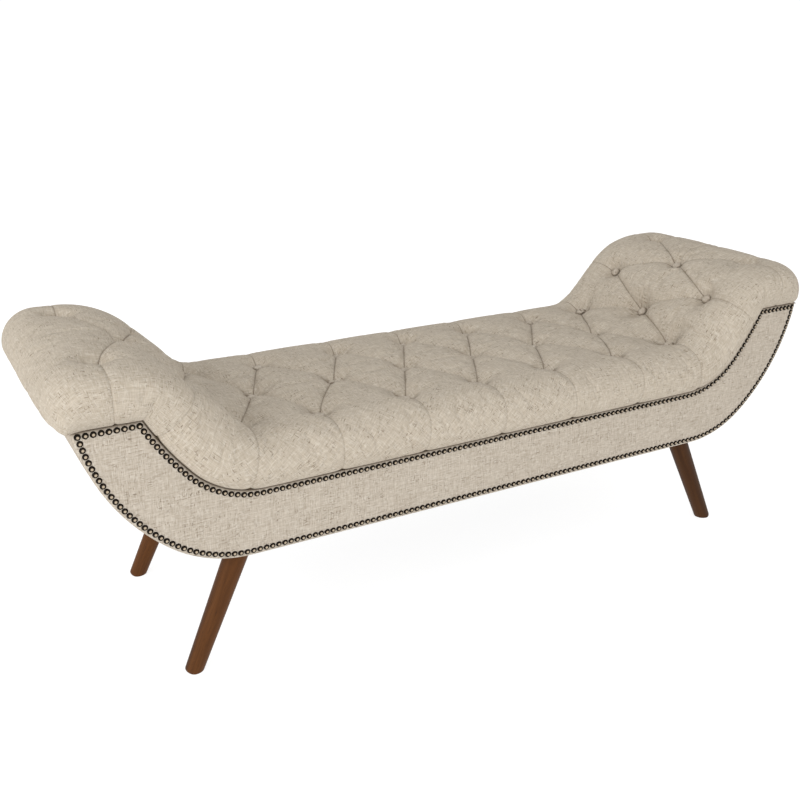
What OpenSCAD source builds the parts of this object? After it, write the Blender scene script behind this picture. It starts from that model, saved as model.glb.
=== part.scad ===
// Upholstered bench with two scrolled arms, a diamond-tufted pad and nail-edged sides.
// X runs along the bench, Y from front to back, Z up. The origin is on the floor, in the middle.

/* [Seat] */
// Length of the straight stretch of the side's top edge, between the two arms
seat_length = 908; // [700:1:1300]
// Depth of the bench over the cloth of its two long sides
bench_depth = 440; // [380:1:560]
// Height of the underside above the floor
underside_z = 211; // [160:1:300]
// Height of the long side at the seat, from the underside to the seam under the pad
side_h = 114; // [95:1:160]
// Height of the pad above that seam
pad_h = 86; // [75:1:110]

/* [Arms] */
// Height of the panel's top edge at the arms, above the seam at the seat
arm_rise = 150; // [130:1:190]
// Radius of the seam where the seat turns up into the arm
seam_bend_r = 151; // [120:1:180]
// Angle of that bend
seam_bend_a = 49; // [40:1:55]
// Radius of the seam on the arm, above the bend
seam_arm_r = 508; // [400:1:700]
// How far beyond the seam's bend the underside starts to rise
under_lead = 25; // [10:1:50]
// Radius of the underside's first bend
under_bend_r = 210; // [170:1:230]
// Angle of that bend
under_bend_a = 39; // [30:1:46]
// Radius of the outer edge, above that bend
under_arm_r = 354; // [310:1:420]

/* [Pad outline] */
// How far before the seam's bend the pad starts to rise
crest_lead = 34; // [10:1:60]
// Radius of the pad's top where the seat turns up into the arm
crest_bend_r = 96; // [70:1:120]
// Slope of the inside of the arm
crest_slope = 47; // [42:1:52]
// Radius of the arm's shoulder
shoulder_r = 192; // [150:1:205]
// Height of the roll's top above the panel's top edge
roll_h = 82; // [70:1:100]
// How far the roll stands out over the panel's outer corner
roll_overhang = 24; // [16:1:36]
// How far the pad swells out over the side's cloth
pad_swell = 16; // [3:1:20]
// Crown of the pad at the middle of its depth
pad_crown = 4; // [0:0.5:10]

/* [Tufting] */
// Tuft pitches from the middle of the seat to each arm's bend
seat_tufts = 3; // [2:1:4]
// Tuft pitches from each arm's bend to the top of its roll
arm_tufts = 2; // [2:1:3]
// Distance between the middle row and an outer row of buttons
row_gap = 141; // [110:1:150]
// How far the last column but one on the seat is set towards the arm
tuft_shift = 14; // [0:1:20]
// Depth of a button below the pad's top
button_depth = 24; // [16:1:25]
// Extra depth of the buttons in the bend of the arm
bend_depth = 14; // [0:1:14]
// Depth of a fold midway between two buttons
fold_depth = 8; // [4:1:12]
// Diameter of a button
button_d = 18; // [14:1:22]
// Height of a button
button_h = 7; // [6:0.5:9]

/* [Padding and cloth] */
// Thickness of the cover with its wadding, at the top of a tuft
cover_t = 44; // [42:1:50]
// Gap between the foam's sides and the outer face of the side boards
foam_inset = 18; // [14:1:30]
// Thickness of the cloth and lining on the long sides
panel_t = 4; // [3:0.5:8]
// Thickness of the cloth wrapped round the lower edge and of the end covers
wrap_t = 2.5; // [1.5:0.5:4]
// Width of the cloth turned in under the side boards
lip_w = 12; // [8:1:17]
// Thickness of the dust cover
dust_t = 1.2; // [0.8:0.1:2]
// Gap between a leg and the edge of the dust cover round it
dust_gap = 3; // [2:0.5:6]
// Clearance between soft pieces and their neighbours
soft_gap = 0.3; // [0.2:0.05:0.5]

/* [Nail trim] */
// Diameter of a nail head
nail_d = 10.6; // [8:0.1:10.7]
// Least distance from one nail to the next
nail_pitch = 10.8; // [10.8:0.05:14]
// Height of a nail head
nail_h = 2.4; // [1.5:0.1:4]
// Distance from the nails' centres to the panel's edge
nail_inset = 8; // [7:0.5:12]

/* [Frame] */
// Thickness of the side boards
board_t = 18; // [15:1:25]
// Thickness of the seat deck and the arm decks
deck_t = 9; // [6:1:12]
// Thickness of the arm caps
cap_t = 12; // [9:1:18]
// Thickness of the cross rails
rail_t = 18; // [15:1:24]
// Height of the seat rails
seat_rail_h = 80; // [60:1:95]
// Height of the arm rails
arm_rail_h = 40; // [30:1:50]
// Diameter of a frame screw
screw_d = 4; // [3:0.5:5]
// Diameter of a frame screw's head
screw_head_d = 8; // [7:0.5:10]
// Height of a frame screw's head
screw_head_h = 3; // [2:0.5:4]
// Length of a frame screw
screw_l = 50; // [40:1:60]

/* [Legs] */
// How far the axis of a leg stands beyond the seat's straight stretch, at its top
leg_out = 27.5; // [15:0.5:40]
// Distance from the cloth of the long side to the axis of a leg, at its top
leg_inset = 51; // [46:1:70]
// Splay of a leg towards the end of the bench
leg_splay = 25; // [15:1:27]
// Splay of a leg towards the long side of the bench
leg_toe = 2.5; // [0:0.5:5]
// Diameter of a leg at its top
leg_top_d = 41; // [30:1:46]
// Diameter of a leg at its foot
leg_foot_d = 31; // [20:1:36]
// Radius of the rounding at a leg's lower end
foot_round = 5; // [2:0.5:8]
// Length turned off the outermost corner of a foot
foot_trim = 2.5; // [1:0.5:4]
// Width of a leg rail on the inner side of the leg's centre
leg_rail_in = 28; // [26:1:34]
// Width of a leg rail on the outer side of the leg's centre
leg_rail_out = 46; // [40:1:56]
// Height of a leg rail at its lower side
leg_rail_h = 30; // [26:1:40]
// Diameter of a hanger bolt
bolt_d = 8; // [6:1:10]
// Depth of the hanger bolt in the leg
bolt_in_leg = 40; // [30:1:60]
// Diameter of a tee nut's flange
tee_flange_d = 22; // [18:1:24]
// Thickness of that flange
tee_flange_t = 1.6; // [1:0.1:2.5]
// Diameter of a tee nut's barrel
tee_barrel_d = 11; // [11:0.5:12]
// Length of that barrel
tee_barrel_l = 11; // [8:1:14]
// Clearance round bolts, barrels and ties in their holes
hole_gap = 0.3; // [0.2:0.05:0.6]

/* [Ties] */
// Diameter of the twine that holds a button
tie_d = 2; // [1.5:0.5:3]
// Diameter of the hole for the twine in foam and deck
tie_hole_d = 8; // [6:0.5:10]
// Diameter of the knot under the deck
knot_d = 12; // [11:0.5:14]
// Height of the knot
knot_h = 4; // [3:0.5:6]

/* [Hidden] */
$fn = 48;

cloth = "#c6baa5";
walnut = "#5c3a26";
plywood = "#cfae7d";
softwood = "#d9bd8c";
foam_colour = "#efe3b4";
lining = "#2b2b2b";
steel = "#a9adb1";
bronze = "#33261b";
twine = "#e9e2d0";

// Heights and depths that several pieces share
seam_z = underside_z + side_h;
top_edge_z = seam_z + arm_rise;
crest_z = seam_z + pad_h;
roll_z = top_edge_z + roll_h;
face_y = bench_depth / 2;
far = bench_depth * 4;
cut = 10;
board_y = face_y - panel_t;
rail_y = board_y - board_t;
seam_flat = seat_length / 2;
under_flat = seam_flat + under_lead;
crest_flat = seam_flat - crest_lead;

// Points of an arc that leaves its lowest direction at angle a0 and ends at a1, centre above
function bowl(c, r, a0, a1, n) =
    [for (i = [0 : n]) let (a = a0 + (a1 - a0) * i / n) [c[0] + r * sin(a), c[1] - r * cos(a)]];

// A side curve: flat to x, then a bend of radius r1, then radius r2 up to the height z_end
function bend_end(x, z, r1, a1) = [x + r1 * sin(a1), z + r1 * (1 - cos(a1))];
function arm_centre(x, z, r1, a1, r2) = bend_end(x, z, r1, a1) + r2 * [-sin(a1), cos(a1)];
function end_angle(c, r2, z_end) = acos((c[1] - z_end) / r2);

// The seam's curve moved outwards by d, up to the height z_end
function seam_centre() = arm_centre(seam_flat, seam_z, seam_bend_r, seam_bend_a, seam_arm_r);
function seam_end_a(d, z_end) = end_angle(seam_centre(), seam_arm_r + d, z_end);
function seam_curve(d, z_end) = concat(
    bowl([seam_flat, seam_z + seam_bend_r], seam_bend_r + d, 0, seam_bend_a, 10),
    bowl(seam_centre(), seam_arm_r + d, seam_bend_a + 1, seam_end_a(d, z_end), 6)
);

// The underside's curve moved inwards by d, up to the arm's top edge
function under_centre() =
    arm_centre(under_flat, underside_z, under_bend_r, under_bend_a, under_arm_r);
function under_end_a(d, z_end) = end_angle(under_centre(), under_arm_r - d, z_end);
function under_curve(d) = concat(
    bowl([under_flat, underside_z + under_bend_r], under_bend_r - d, 0, under_bend_a, 8),
    bowl(under_centre(), under_arm_r - d, under_bend_a + 1.5, under_end_a(d, top_edge_z), 12)
);

function reverse(p) = [for (i = [len(p) - 1 : -1 : 0]) p[i]];
function mirrored(p) = [for (i = [len(p) - 1 : -1 : 0]) [-p[i][0], p[i][1]]];

// Outline of a long side, inset from the seam and from the underside
function side_outline(from_seam, from_under) = let (
    right = concat(seam_curve(from_seam, top_edge_z), reverse(under_curve(from_under)))
) concat(right, mirrored(right));

// Corners of the panel at the arm's top edge
seam_end_x = seam_centre()[0] + seam_arm_r * sin(seam_end_a(0, top_edge_z));
under_end_x = under_centre()[0] + under_arm_r * sin(under_end_a(0, top_edge_z));
arm_top_w = under_end_x - seam_end_x;

// Lengths along the pad's top, from the middle of the seat to the roll's lower seam
rad = PI / 180;
bend_l = crest_bend_r * crest_slope * rad;
slope_rise = roll_z - crest_z - (crest_bend_r + shoulder_r) * (1 - cos(crest_slope));
slope_l = slope_rise / sin(crest_slope);
shoulder_l = shoulder_r * crest_slope * rad;
top_x = crest_flat + (crest_bend_r + shoulder_r) * sin(crest_slope) + slope_l * cos(crest_slope);
outer_x = under_end_x + roll_overhang;
tuck_r = roll_overhang - 2;
roll_r = roll_h - tuck_r - soft_gap;
roll_flat = outer_x - roll_r - top_x;
at_bend = crest_flat;
at_slope = at_bend + bend_l;
at_shoulder = at_slope + slope_l;
at_top = at_shoulder + shoulder_l;
at_roll = at_top + roll_flat;
at_tuck = at_roll + roll_r * 90 * rad;
at_end = at_tuck + tuck_r * 90 * rad;

// Point and slope of the pad's top at the length s from the middle, moved inwards by d
function crest_in(s, d) =
    s < at_bend ? [s, crest_z - d, 0] :
    s < at_slope ? let (a = (s - at_bend) / crest_bend_r / rad)
        [crest_flat + (crest_bend_r + d) * sin(a),
         crest_z + crest_bend_r - (crest_bend_r + d) * cos(a), a] :
    s < at_shoulder ? let (a = crest_slope, c = s - at_slope)
        [crest_flat + (crest_bend_r + d) * sin(a) + c * cos(a),
         crest_z + crest_bend_r - (crest_bend_r + d) * cos(a) + c * sin(a), a] :
    s < at_top ? let (a = crest_slope - (s - at_shoulder) / shoulder_r / rad)
        [top_x - (shoulder_r - d) * sin(a), roll_z - shoulder_r + (shoulder_r - d) * cos(a), a] :
    s < at_roll ? [top_x + s - at_top, roll_z - d, 0] :
    s < at_tuck ? let (a = (s - at_roll) / roll_r / rad)
        [outer_x - roll_r + (roll_r - d) * sin(a), roll_z - roll_r + (roll_r - d) * cos(a), -a] :
    let (a = 90 + (s - at_tuck) / tuck_r / rad)
        [outer_x - tuck_r + (tuck_r - d) * sin(a), roll_z - roll_r + (tuck_r - d) * cos(a), -a];

// Lengths along the seam, round the panel's top corner to its outer corner
seam_bend_l = seam_bend_r * seam_bend_a * rad;
seam_arm_l = seam_arm_r * (seam_end_a(0, top_edge_z) - seam_bend_a) * rad;
seam_at_arm = seam_flat + seam_bend_l;
seam_at_top = seam_at_arm + seam_arm_l;
seam_at_end = seam_at_top + arm_top_w;

// Point and slope of the seam at the length s from the middle, moved inwards by d
function seam_in(s, d) =
    s < seam_flat ? [s, seam_z - d, 0] :
    s < seam_at_arm ? let (a = (s - seam_flat) / seam_bend_r / rad)
        [seam_flat + (seam_bend_r + d) * sin(a), seam_z + seam_bend_r - (seam_bend_r + d) * cos(a), a] :
    s < seam_at_top ? let (a = seam_bend_a + (s - seam_at_arm) / seam_arm_r / rad)
        [seam_centre()[0] + (seam_arm_r + d) * sin(a), seam_centre()[1] - (seam_arm_r + d) * cos(a), a] :
    [seam_end_x + min(s - seam_at_top, arm_top_w), top_edge_z - d, 0];

// Tuft stations: whole numbers are the columns of the outer rows, 0 in the middle of the seat.
// The tables give the length along the pad's top and along the seam for some of the stations.
last_tuft = seat_tufts + arm_tufts;
last_station = last_tuft + 1;
shift_u = seat_tufts - 1;
tuck_u = last_tuft + 2 / 3;
at_arm = at_bend + bend_l / 2;
last_tuft_gap = 8;
at_last = at_top - last_tuft_gap;
function bump(u, width) = exp(-pow(u / width, 2));
function crest_s(u) = tuft_shift * bump(u - shift_u, 0.35) + lookup(u, [
    [0, 0], [seat_tufts, at_arm], [seat_tufts + arm_tufts / 2, at_arm + 0.46 * (at_last - at_arm)],
    [last_tuft, at_last], [tuck_u, at_tuck], [last_station, at_end]
]);
function seam_s(u) = lookup(u, [
    [0, 0], [seat_tufts, seam_flat + 0.19 * seam_bend_l],
    [seat_tufts + arm_tufts / 2, seam_at_arm + 0.7 * seam_arm_l],
    [last_tuft - 0.5, seam_at_top], [last_tuft, seam_at_top + 0.39 * arm_top_w],
    [last_station, seam_at_end]
]);
function crest_at(u, d) = crest_in(crest_s(abs(u)), d);
function seam_at(u, d) = seam_in(seam_s(abs(u)), d);

function crown_at(y) = pad_crown * (1 - pow(y / face_y, 2));

// Depth of a button at station u
function tuft_depth(u) =
    button_depth + bend_depth * bump(abs(u) - seat_tufts - 0.5, 0.35);

// Depth of the cloth below the pad's top at station u and row v, with rows at -1, 0 and 1.
// fa and fb are 0 on a fold of either direction and 1 halfway to the next one.
function fold_mix(fa, fb, deep) =
    (1 - sqrt(fa * fb)) * (fold_depth + (deep - fold_depth) * (1 - max(fa, fb)));
function roll_fade(u) = max(0, 1 - 2 * max(0, abs(u) - last_tuft));
function dip(u, v) = roll_fade(u) * (abs(v) <= 1
    ? fold_mix(abs(cos(180 * (u + v / 2))), abs(cos(180 * (u - v / 2))), tuft_depth(u))
    : fold_mix(abs(sin(180 * u)), abs(sin(180 * u)), tuft_depth(u)));

// Cross-section of the pad, from the front seam over the top to the back seam:
// [row, share of the pad's height, distance from the middle, share of the dip]
rows = 3;
edge_y = face_y - 20;
half_section = concat(
    [[2, 0, board_y, 0], [2, 0.4, face_y + pad_swell, 0.1],
     [2, 0.78, face_y + pad_swell * 0.5, 0.2], [2, 0.96, edge_y, 0.32]],
    [for (j = [rows : -1 : 0]) [j / rows, 1, row_gap * j / rows, 1]]
);
half_n = len(half_section) - 1;
section = concat(
    [for (p = half_section) [-p[0], p[1], -p[2], p[3]]],
    [for (j = [half_n - 1 : -1 : 0]) half_section[j]]
);
section_n = len(section) - 1;

// Steps along the pad: per tuft pitch, and over each roll beyond the last tufts
steps = 6;
roll_steps = 6;
stations = concat(
    [for (i = [roll_steps : -1 : 1]) -last_tuft - i / roll_steps],
    [for (i = [-last_tuft * steps : last_tuft * steps]) i / steps],
    [for (i = [1 : roll_steps]) last_tuft + i / roll_steps]
);
station_n = len(stations) - 1;

// How far the pad narrows towards the end of the roll, as a share of its depth
end_taper = 0.03;

// A point of the cover's outer face, for a station and a point of the section
function cover_point(u, p) = let (
    k = crest_at(u, 0), e = seam_at(u, -soft_gap), side = u < 0 ? -1 : 1,
    roll_u = max(0, abs(u) - last_tuft),
    crown = crown_at(p[2]) * p[1] * (1 - roll_u),
    y = p[2] * (p[1] > 0 ? 1 - end_taper * roll_u * roll_u : 1),
    d = dip(u, p[0]) * p[3] - crown,
    x = e[0] + (k[0] - e[0]) * p[1] + d * sin(k[2]),
    z = e[1] + (k[1] - e[1]) * p[1] - d * cos(k[2])
) [side * x, y, z];

// A point of the cover's inner face, where it lies on the foam
inner_y = board_y - foam_inset + soft_gap;
function foam_top(u) = let (s = crest_s(abs(u)), d = cover_t - soft_gap, low_z = top_edge_z + soft_gap)
    s < at_tuck ? crest_in(s, d)
    : [outer_x - d, low_z + (roll_z - roll_r - low_z) * (at_end - s) / (at_end - at_tuck)];
function inner_point(u, y) = let (f = foam_top(u)) [(u < 0 ? -1 : 1) * f[0], y, f[1]];

// Whether a fold runs from the near left to the far right corner of the step (i, j)
function fold_rises(i, j) = let (a = i - station_n / 2, b = j - half_n)
    abs(b + 0.5) < rows ? (a - b + 1000 * steps) % steps == steps / 2 : (a * (b < 0 ? 1 : -1) < 0);

function quad_split(a, b, c, d, rises) =
    rises ? [[a, b, c], [a, c, d]] : [[a, b, d], [b, c, d]];

module cover_solid() {
    ring = section_n + 3;
    last = station_n * ring;
    points = [for (u = stations) each concat(
        [for (p = section) cover_point(u, p)], [inner_point(u, inner_y), inner_point(u, -inner_y)]
    )];
    faces = concat(
        [for (i = [0 : station_n - 1]) for (j = [0 : ring - 1]) let (
            k = (j + 1) % ring,
            split = j < section_n ? fold_rises(i, j) : true
        ) each quad_split(i * ring + j, i * ring + k, (i + 1) * ring + k, (i + 1) * ring + j, split)],
        [for (j = [0 : ring - 3]) [ring - 1, j + 1, j]],
        [for (j = [0 : ring - 3]) [last + ring - 1, last + j, last + j + 1]]
    );
    polyhedron(points, faces, convexity = 8);
}

// Stretches a flat outline, drawn in X and Z, from y0 back to y1
module across(y0, y1) {
    translate([0, y1, 0]) rotate([90, 0, 0]) linear_extrude(y1 - y0) children();
}

module on_left() { mirror([1, 0, 0]) children(); }
module on_back() { mirror([0, 1, 0]) children(); }

// A copy at the front right corner of the bench, moved to another corner
module corner(left, back) {
    mirror([left ? 1 : 0, 0, 0]) mirror([0, back ? 1 : 0, 0]) children();
}

module at_corners() {
    for (left = [false, true]) for (back = [false, true]) corner(left, back) children();
}

// Button places: [station, distance from the middle]
buttons = concat(
    [for (k = [-last_tuft : last_tuft]) for (s = [-1, 1]) [k, s * row_gap]],
    [for (k = [-last_tuft : last_tuft - 1]) [k + 0.5, 0]]
);

back_h = button_h * 0.45;

// Slope of the tuft's wall from a button towards a neighbouring step of the pad
function wall_slope(b, step) = let (
    u = abs(b[0]), near = u + step / steps,
    k = crest_at(u, tuft_depth(u)), n = crest_at(near, dip(near, b[1] / row_gap)),
    w = [n[0] - k[0], n[1] - k[1]], a = k[2]
) (w * [-sin(a), cos(a)]) / abs(w * [cos(a), sin(a)]);

// Depth of a button's pointed back, raised so that its rim clears the tuft's walls
function back_depth(b) = tuft_depth(b[0]) - soft_gap
    - max(0, max(wall_slope(b, 1), wall_slope(b, -1)) * button_d / 2 - back_h + soft_gap);

// Puts a child on the pad at a button, with its Z axis square to the pad
module at_button(b, depth) {
    k = crest_at(b[0], depth - crown_at(b[1]));
    side = b[0] < 0 ? -1 : 1;
    translate([side * k[0], b[1], k[1]]) rotate([0, -side * k[2], 0]) children();
}

// Length from the point p along the direction v to a circle, and to the boards under the foam
function circle_hit(p, v, c, r) = let (w = p - c, b = w * v) sqrt(b * b - w * w + r * r) - b;
function deck_hit(p, v) = let (
    c = [seam_flat, seam_z + seam_bend_r], l = circle_hit(p, v, c, seam_bend_r), q = p + l * v,
    flat_l = (seam_z - p[1]) / v[1]
) p[0] + flat_l * v[0] < seam_flat ? flat_l
    : atan2(q[0] - c[0], c[1] - q[1]) < seam_bend_a ? l
    : circle_hit(p, v, seam_centre(), seam_arm_r);

// The buttons on the roll and the shoulder are tied to the cap, the others to a deck
function on_cap(b) = abs(b[0]) > last_tuft - 1;
function tie_start(b) = let (k = crest_at(b[0], cover_t)) [k[0], k[1]];
function cap_aim(b) = let (p = tie_start(b))
    [max(p[0], seam_end_x + knot_d) - p[0], top_edge_z - p[1]];
function tie_v(b) = let (a = crest_at(b[0], 0)[2])
    on_cap(b) ? cap_aim(b) / norm(cap_aim(b)) : [sin(a), -cos(a)];

// Length of a tie down to the boards' upper face, and from there to its knot
function tie_l(b) = on_cap(b) ? norm(cap_aim(b)) : deck_hit(tie_start(b), tie_v(b));
function knot_l(b) = let (v = tie_v(b))
    on_cap(b) ? 1 - (cap_t + abs(v[0]) * knot_d / 2) / v[1] : deck_t + 2;

// Puts a child at the upper end of a button's tie, with its Z axis running down the tie
module along_tie(b) {
    p = tie_start(b);
    v = tie_v(b);
    side = b[0] < 0 ? -1 : 1;
    translate([side * p[0], b[1], p[1]]) rotate([0, atan2(side * v[0], v[1]), 0]) children();
}

module tie_holes(picked) {
    for (b = picked) along_tie(b)
        translate([0, 0, -cut]) cylinder(h = tie_l(b) + cut + 3 * cap_t, d = tie_hole_d);
}

// Places of the rails: the middle of each in X and its lower edge in Z
seat_rail_x = crest_s(1.25);
seat_rail_z = seam_z - deck_t - seat_rail_h;
corner_rail_x = min(seam_flat, seam_flat + leg_out - leg_rail_in) - rail_t / 2;
corner_rail_h = seam_z - deck_t - underside_z - wrap_t;
arm_rail_z = top_edge_z - cap_t - arm_rail_h;
arm_rail_x = under_centre()[0] - rail_t / 2 - soft_gap
    + (under_arm_r - wrap_t) * sin(under_end_a(wrap_t, arm_rail_z));

// A leg's axis crosses the underside of its rail at [leg_x, leg_y, leg_top_z]
leg_x = seam_flat + leg_out;
leg_y = face_y - leg_inset;
leg_top_z = underside_z + wrap_t;
foot_x = leg_x + leg_top_z * tan(leg_splay);
foot_y = leg_y + leg_top_z * tan(leg_toe) / cos(leg_splay);
leg_l = leg_top_z / cos(leg_splay) / cos(leg_toe);
nut_seat = 1.5;
nut_l = leg_rail_h * cos(leg_splay) + leg_rail_in * sin(leg_splay) - nut_seat;

// Screws that hold a rail's end to the side boards: [x, z] of each
function rail_screws() = concat(
    [for (z = [0.25, 0.75]) [seat_rail_x, seat_rail_z + seat_rail_h * z]],
    [for (z = [0.3, 0.7]) [corner_rail_x, underside_z + wrap_t + corner_rail_h * z]],
    [for (z = [0.3, 0.7]) [arm_rail_x, arm_rail_z + arm_rail_h * z]],
    [[leg_x - leg_rail_in * 0.75, leg_top_z + leg_rail_h * 0.55],
     [leg_x + leg_rail_out / 2, leg_top_z + leg_rail_h * 0.9]]
);

module screw_holes(d, head_d) {
    for (s = rail_screws()) for (side = [-1, 1])
        translate([side * s[0], -board_y, s[1]]) rotate([-90, 0, 0]) {
            cylinder(h = screw_l + 1, d = d);
            if (head_d > 0) translate([0, 0, -1]) cylinder(h = screw_head_h + 1, d = head_d);
        }
}

// The room from the caps' lower faces up, over the whole bench
module cap_room() {
    translate([-far, -bench_depth, top_edge_z - cap_t])
        cube([far * 2, bench_depth * 2, cap_t + 1]);
}

module side_board() {
    difference() {
        across(-board_y, -rail_y) polygon(side_outline(deck_t, wrap_t));
        cap_room();
        screw_holes(screw_d, screw_head_d);
    }
}

module front_side_board() color(plywood) side_board();
module back_side_board() color(plywood) on_back() side_board();

module frame_screws() color(steel)
    for (back = [false, true]) for (left = [false, true]) for (s = rail_screws())
        corner(left, back) translate([s[0], -board_y, s[1]]) rotate([-90, 0, 0]) {
            cylinder(h = screw_l, d = screw_d);
            cylinder(h = screw_head_h, d = screw_head_d);
        }

module seat_deck() color(plywood) difference() {
    translate([-seam_flat, -board_y, seam_z - deck_t]) cube([seat_length, 2 * board_y, deck_t]);
    tie_holes([for (b = buttons) if (abs(b[0]) < seat_tufts) b]);
}

module arm_deck() {
    difference() {
        across(-board_y, board_y)
            polygon(concat(seam_curve(0, top_edge_z), reverse(seam_curve(deck_t, top_edge_z))));
        cap_room();
        tie_holes([for (b = buttons) if (b[0] >= seat_tufts && !on_cap(b)) b]);
    }
}

module right_arm_deck() color(plywood) arm_deck();
module left_arm_deck() color(plywood) on_left() arm_deck();

module arm_cap() {
    difference() {
        across(-board_y, board_y) intersection() {
            polygon(side_outline(0, wrap_t));
            translate([0, top_edge_z - cap_t]) square([far, cap_t]);
        }
        tie_holes([for (b = buttons) if (b[0] > 0 && on_cap(b)) b]);
    }
}

module right_arm_cap() color(plywood) arm_cap();
module left_arm_cap() color(plywood) on_left() arm_cap();

// A rail of the given height, square to the bench, from one side board to the other
module cross_rail(x, z, h) {
    difference() {
        translate([x - rail_t / 2, -rail_y, z]) cube([rail_t, 2 * rail_y, h]);
        screw_holes(screw_d, 0);
        on_back() screw_holes(screw_d, 0);
    }
}

module right_arm_rail() color(softwood) cross_rail(arm_rail_x, arm_rail_z, arm_rail_h);
module left_arm_rail() color(softwood) on_left() cross_rail(arm_rail_x, arm_rail_z, arm_rail_h);
module right_seat_rail() color(softwood) cross_rail(seat_rail_x, seat_rail_z, seat_rail_h);
module left_seat_rail() color(softwood) on_left() cross_rail(seat_rail_x, seat_rail_z, seat_rail_h);
module right_corner_rail() color(softwood)
    cross_rail(corner_rail_x, underside_z + wrap_t, corner_rail_h);
module left_corner_rail() color(softwood)
    on_left() cross_rail(corner_rail_x, underside_z + wrap_t, corner_rail_h);

// Puts a child on a leg's axis at the front right, with Z running up the leg from its top end
module on_leg_axis() {
    translate([leg_x, -leg_y, leg_top_z]) rotate([-leg_toe, -leg_splay, 0]) children();
}

// The rail's underside follows the side's; its top is square to the legs
module leg_rail() {
    in_x = leg_x - leg_rail_in;
    out_x = leg_x + leg_rail_out;
    top_z = leg_top_z + leg_rail_h;
    difference() {
        across(-rail_y, rail_y) intersection() {
            polygon([[in_x, leg_top_z], [out_x, leg_top_z],
                     [out_x, top_z + (out_x - in_x) * tan(leg_splay)], [in_x, top_z]]);
            polygon(side_outline(deck_t, wrap_t));
        }
        screw_holes(screw_d, 0);
        on_back() screw_holes(screw_d, 0);
        for (back = [false, true]) corner(false, back) on_leg_axis() {
            translate([0, 0, -bolt_d]) cylinder(h = nut_l + bolt_d + cut, d = bolt_d + 2 * hole_gap);
            translate([0, 0, nut_l - tee_barrel_l])
                cylinder(h = leg_rail_h * 2, d = tee_barrel_d + 2 * hole_gap);
            translate([0, 0, nut_l]) cylinder(h = leg_rail_h * 2, d = tee_flange_d + 2 * hole_gap);
        }
    }
}

module right_leg_rail() color(softwood) leg_rail();
module left_leg_rail() color(softwood) on_left() leg_rail();

module tee_nut() {
    translate([0, 0, nut_l]) difference() {
        union() {
            cylinder(h = tee_flange_t, d = tee_flange_d);
            translate([0, 0, -tee_barrel_l]) cylinder(h = tee_barrel_l, d = tee_barrel_d);
        }
        translate([0, 0, -tee_barrel_l - 1])
            cylinder(h = tee_barrel_l + tee_flange_t + 2, d = bolt_d + hole_gap);
    }
}

module tee_nuts() color(steel) at_corners() on_leg_axis() tee_nut();
module hanger_bolts() color(steel) at_corners() on_leg_axis()
    translate([0, 0, -bolt_in_leg]) cylinder(h = bolt_in_leg + nut_l, d = bolt_d);

// A tapered round leg, cut level at its top and at the floor, with its lower end rounded off
module leg() {
    foot_r = leg_foot_d / 2;
    end_z = foot_trim - foot_r * tan(leg_splay) - leg_l;
    difference() {
        on_leg_axis() difference() {
            rotate_extrude() polygon(concat(
                [[0, leg_top_d], [leg_top_d / 2, leg_top_d], [leg_top_d / 2, 0]],
                [for (a = [0 : 15 : 90])
                    [foot_r - foot_round * (1 - cos(a)), end_z + foot_round * (1 - sin(a))]],
                [[0, end_z]]
            ));
            translate([0, 0, -bolt_in_leg])
                cylinder(h = bolt_in_leg + leg_top_d + cut, d = bolt_d + hole_gap);
        }
        translate([-far, -far, leg_top_z]) cube([2 * far, 2 * far, far]);
        translate([-far, -far, -far]) cube([2 * far, 2 * far, far]);
    }
}

module front_right_leg() color(walnut) leg();
module front_left_leg() color(walnut) corner(true, false) leg();
module back_right_leg() color(walnut) corner(false, true) leg();
module back_left_leg() color(walnut) corner(true, true) leg();

module seat_foam() color(foam_colour) difference() {
    translate([-crest_flat, foam_inset - board_y, seam_z])
        cube([2 * crest_flat, 2 * (board_y - foam_inset), pad_h - cover_t]);
    tie_holes([for (b = buttons) if (abs(b[0]) < seat_tufts) b]);
}

// The arm's foam fills the room between the deck, the cap and the cover's inner face
module arm_foam() {
    top = [for (u = stations) let (s = crest_s(u)) if (u > 0 && s > at_bend && u < tuck_u + 0.01)
        let (k = crest_in(s, cover_t)) [k[0], k[1]]];
    difference() {
        across(foam_inset - board_y, board_y - foam_inset) polygon(concat(
            [[crest_flat, seam_z + soft_gap]], seam_curve(-soft_gap, top_edge_z + soft_gap),
            [[outer_x - cover_t, top_edge_z + soft_gap]], reverse(top), [[crest_flat, crest_z - cover_t]]
        ));
        tie_holes([for (b = buttons) if (b[0] >= seat_tufts) b]);
    }
}

module right_arm_foam() color(foam_colour) arm_foam();
module left_arm_foam() color(foam_colour) on_left() arm_foam();

module tufted_cover() color(cloth) cover_solid();

// A cloth-covered button with a pointed back that sits in its tuft
module tuft_button() {
    rim_h = button_h * 0.25;
    cylinder(h = back_h, d1 = 1, d2 = button_d * 0.6);
    translate([0, 0, back_h]) cylinder(h = rim_h, d1 = button_d, d2 = button_d * 0.86);
    translate([0, 0, back_h + rim_h])
        cylinder(h = button_h - back_h - rim_h, d1 = button_d * 0.86, d2 = button_d * 0.4);
}

module tuft_buttons() color(cloth) for (b = buttons)
    at_button(b, back_depth(b)) tuft_button();

module button_ties() color(twine) for (b = buttons) along_tie(b) {
    l = tie_l(b) + knot_l(b);
    translate([0, 0, 2 * soft_gap]) cylinder(h = l - 2 * soft_gap, d = tie_d);
    translate([0, 0, l]) cylinder(h = knot_h, d = knot_d);
}

// A strip along the whole underside and both outer edges, between two insets
function under_strip(d0, d1) = let (
    right = concat(under_curve(d0), reverse(under_curve(d1)))
) concat(right, mirrored(right));

// The cloth on a long side, turned in under the side board along its lower edge
module panel_cover() {
    across(-face_y, -board_y) polygon(side_outline(0, 0));
    across(-board_y, -board_y + lip_w) polygon(under_strip(0, wrap_t));
}

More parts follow.
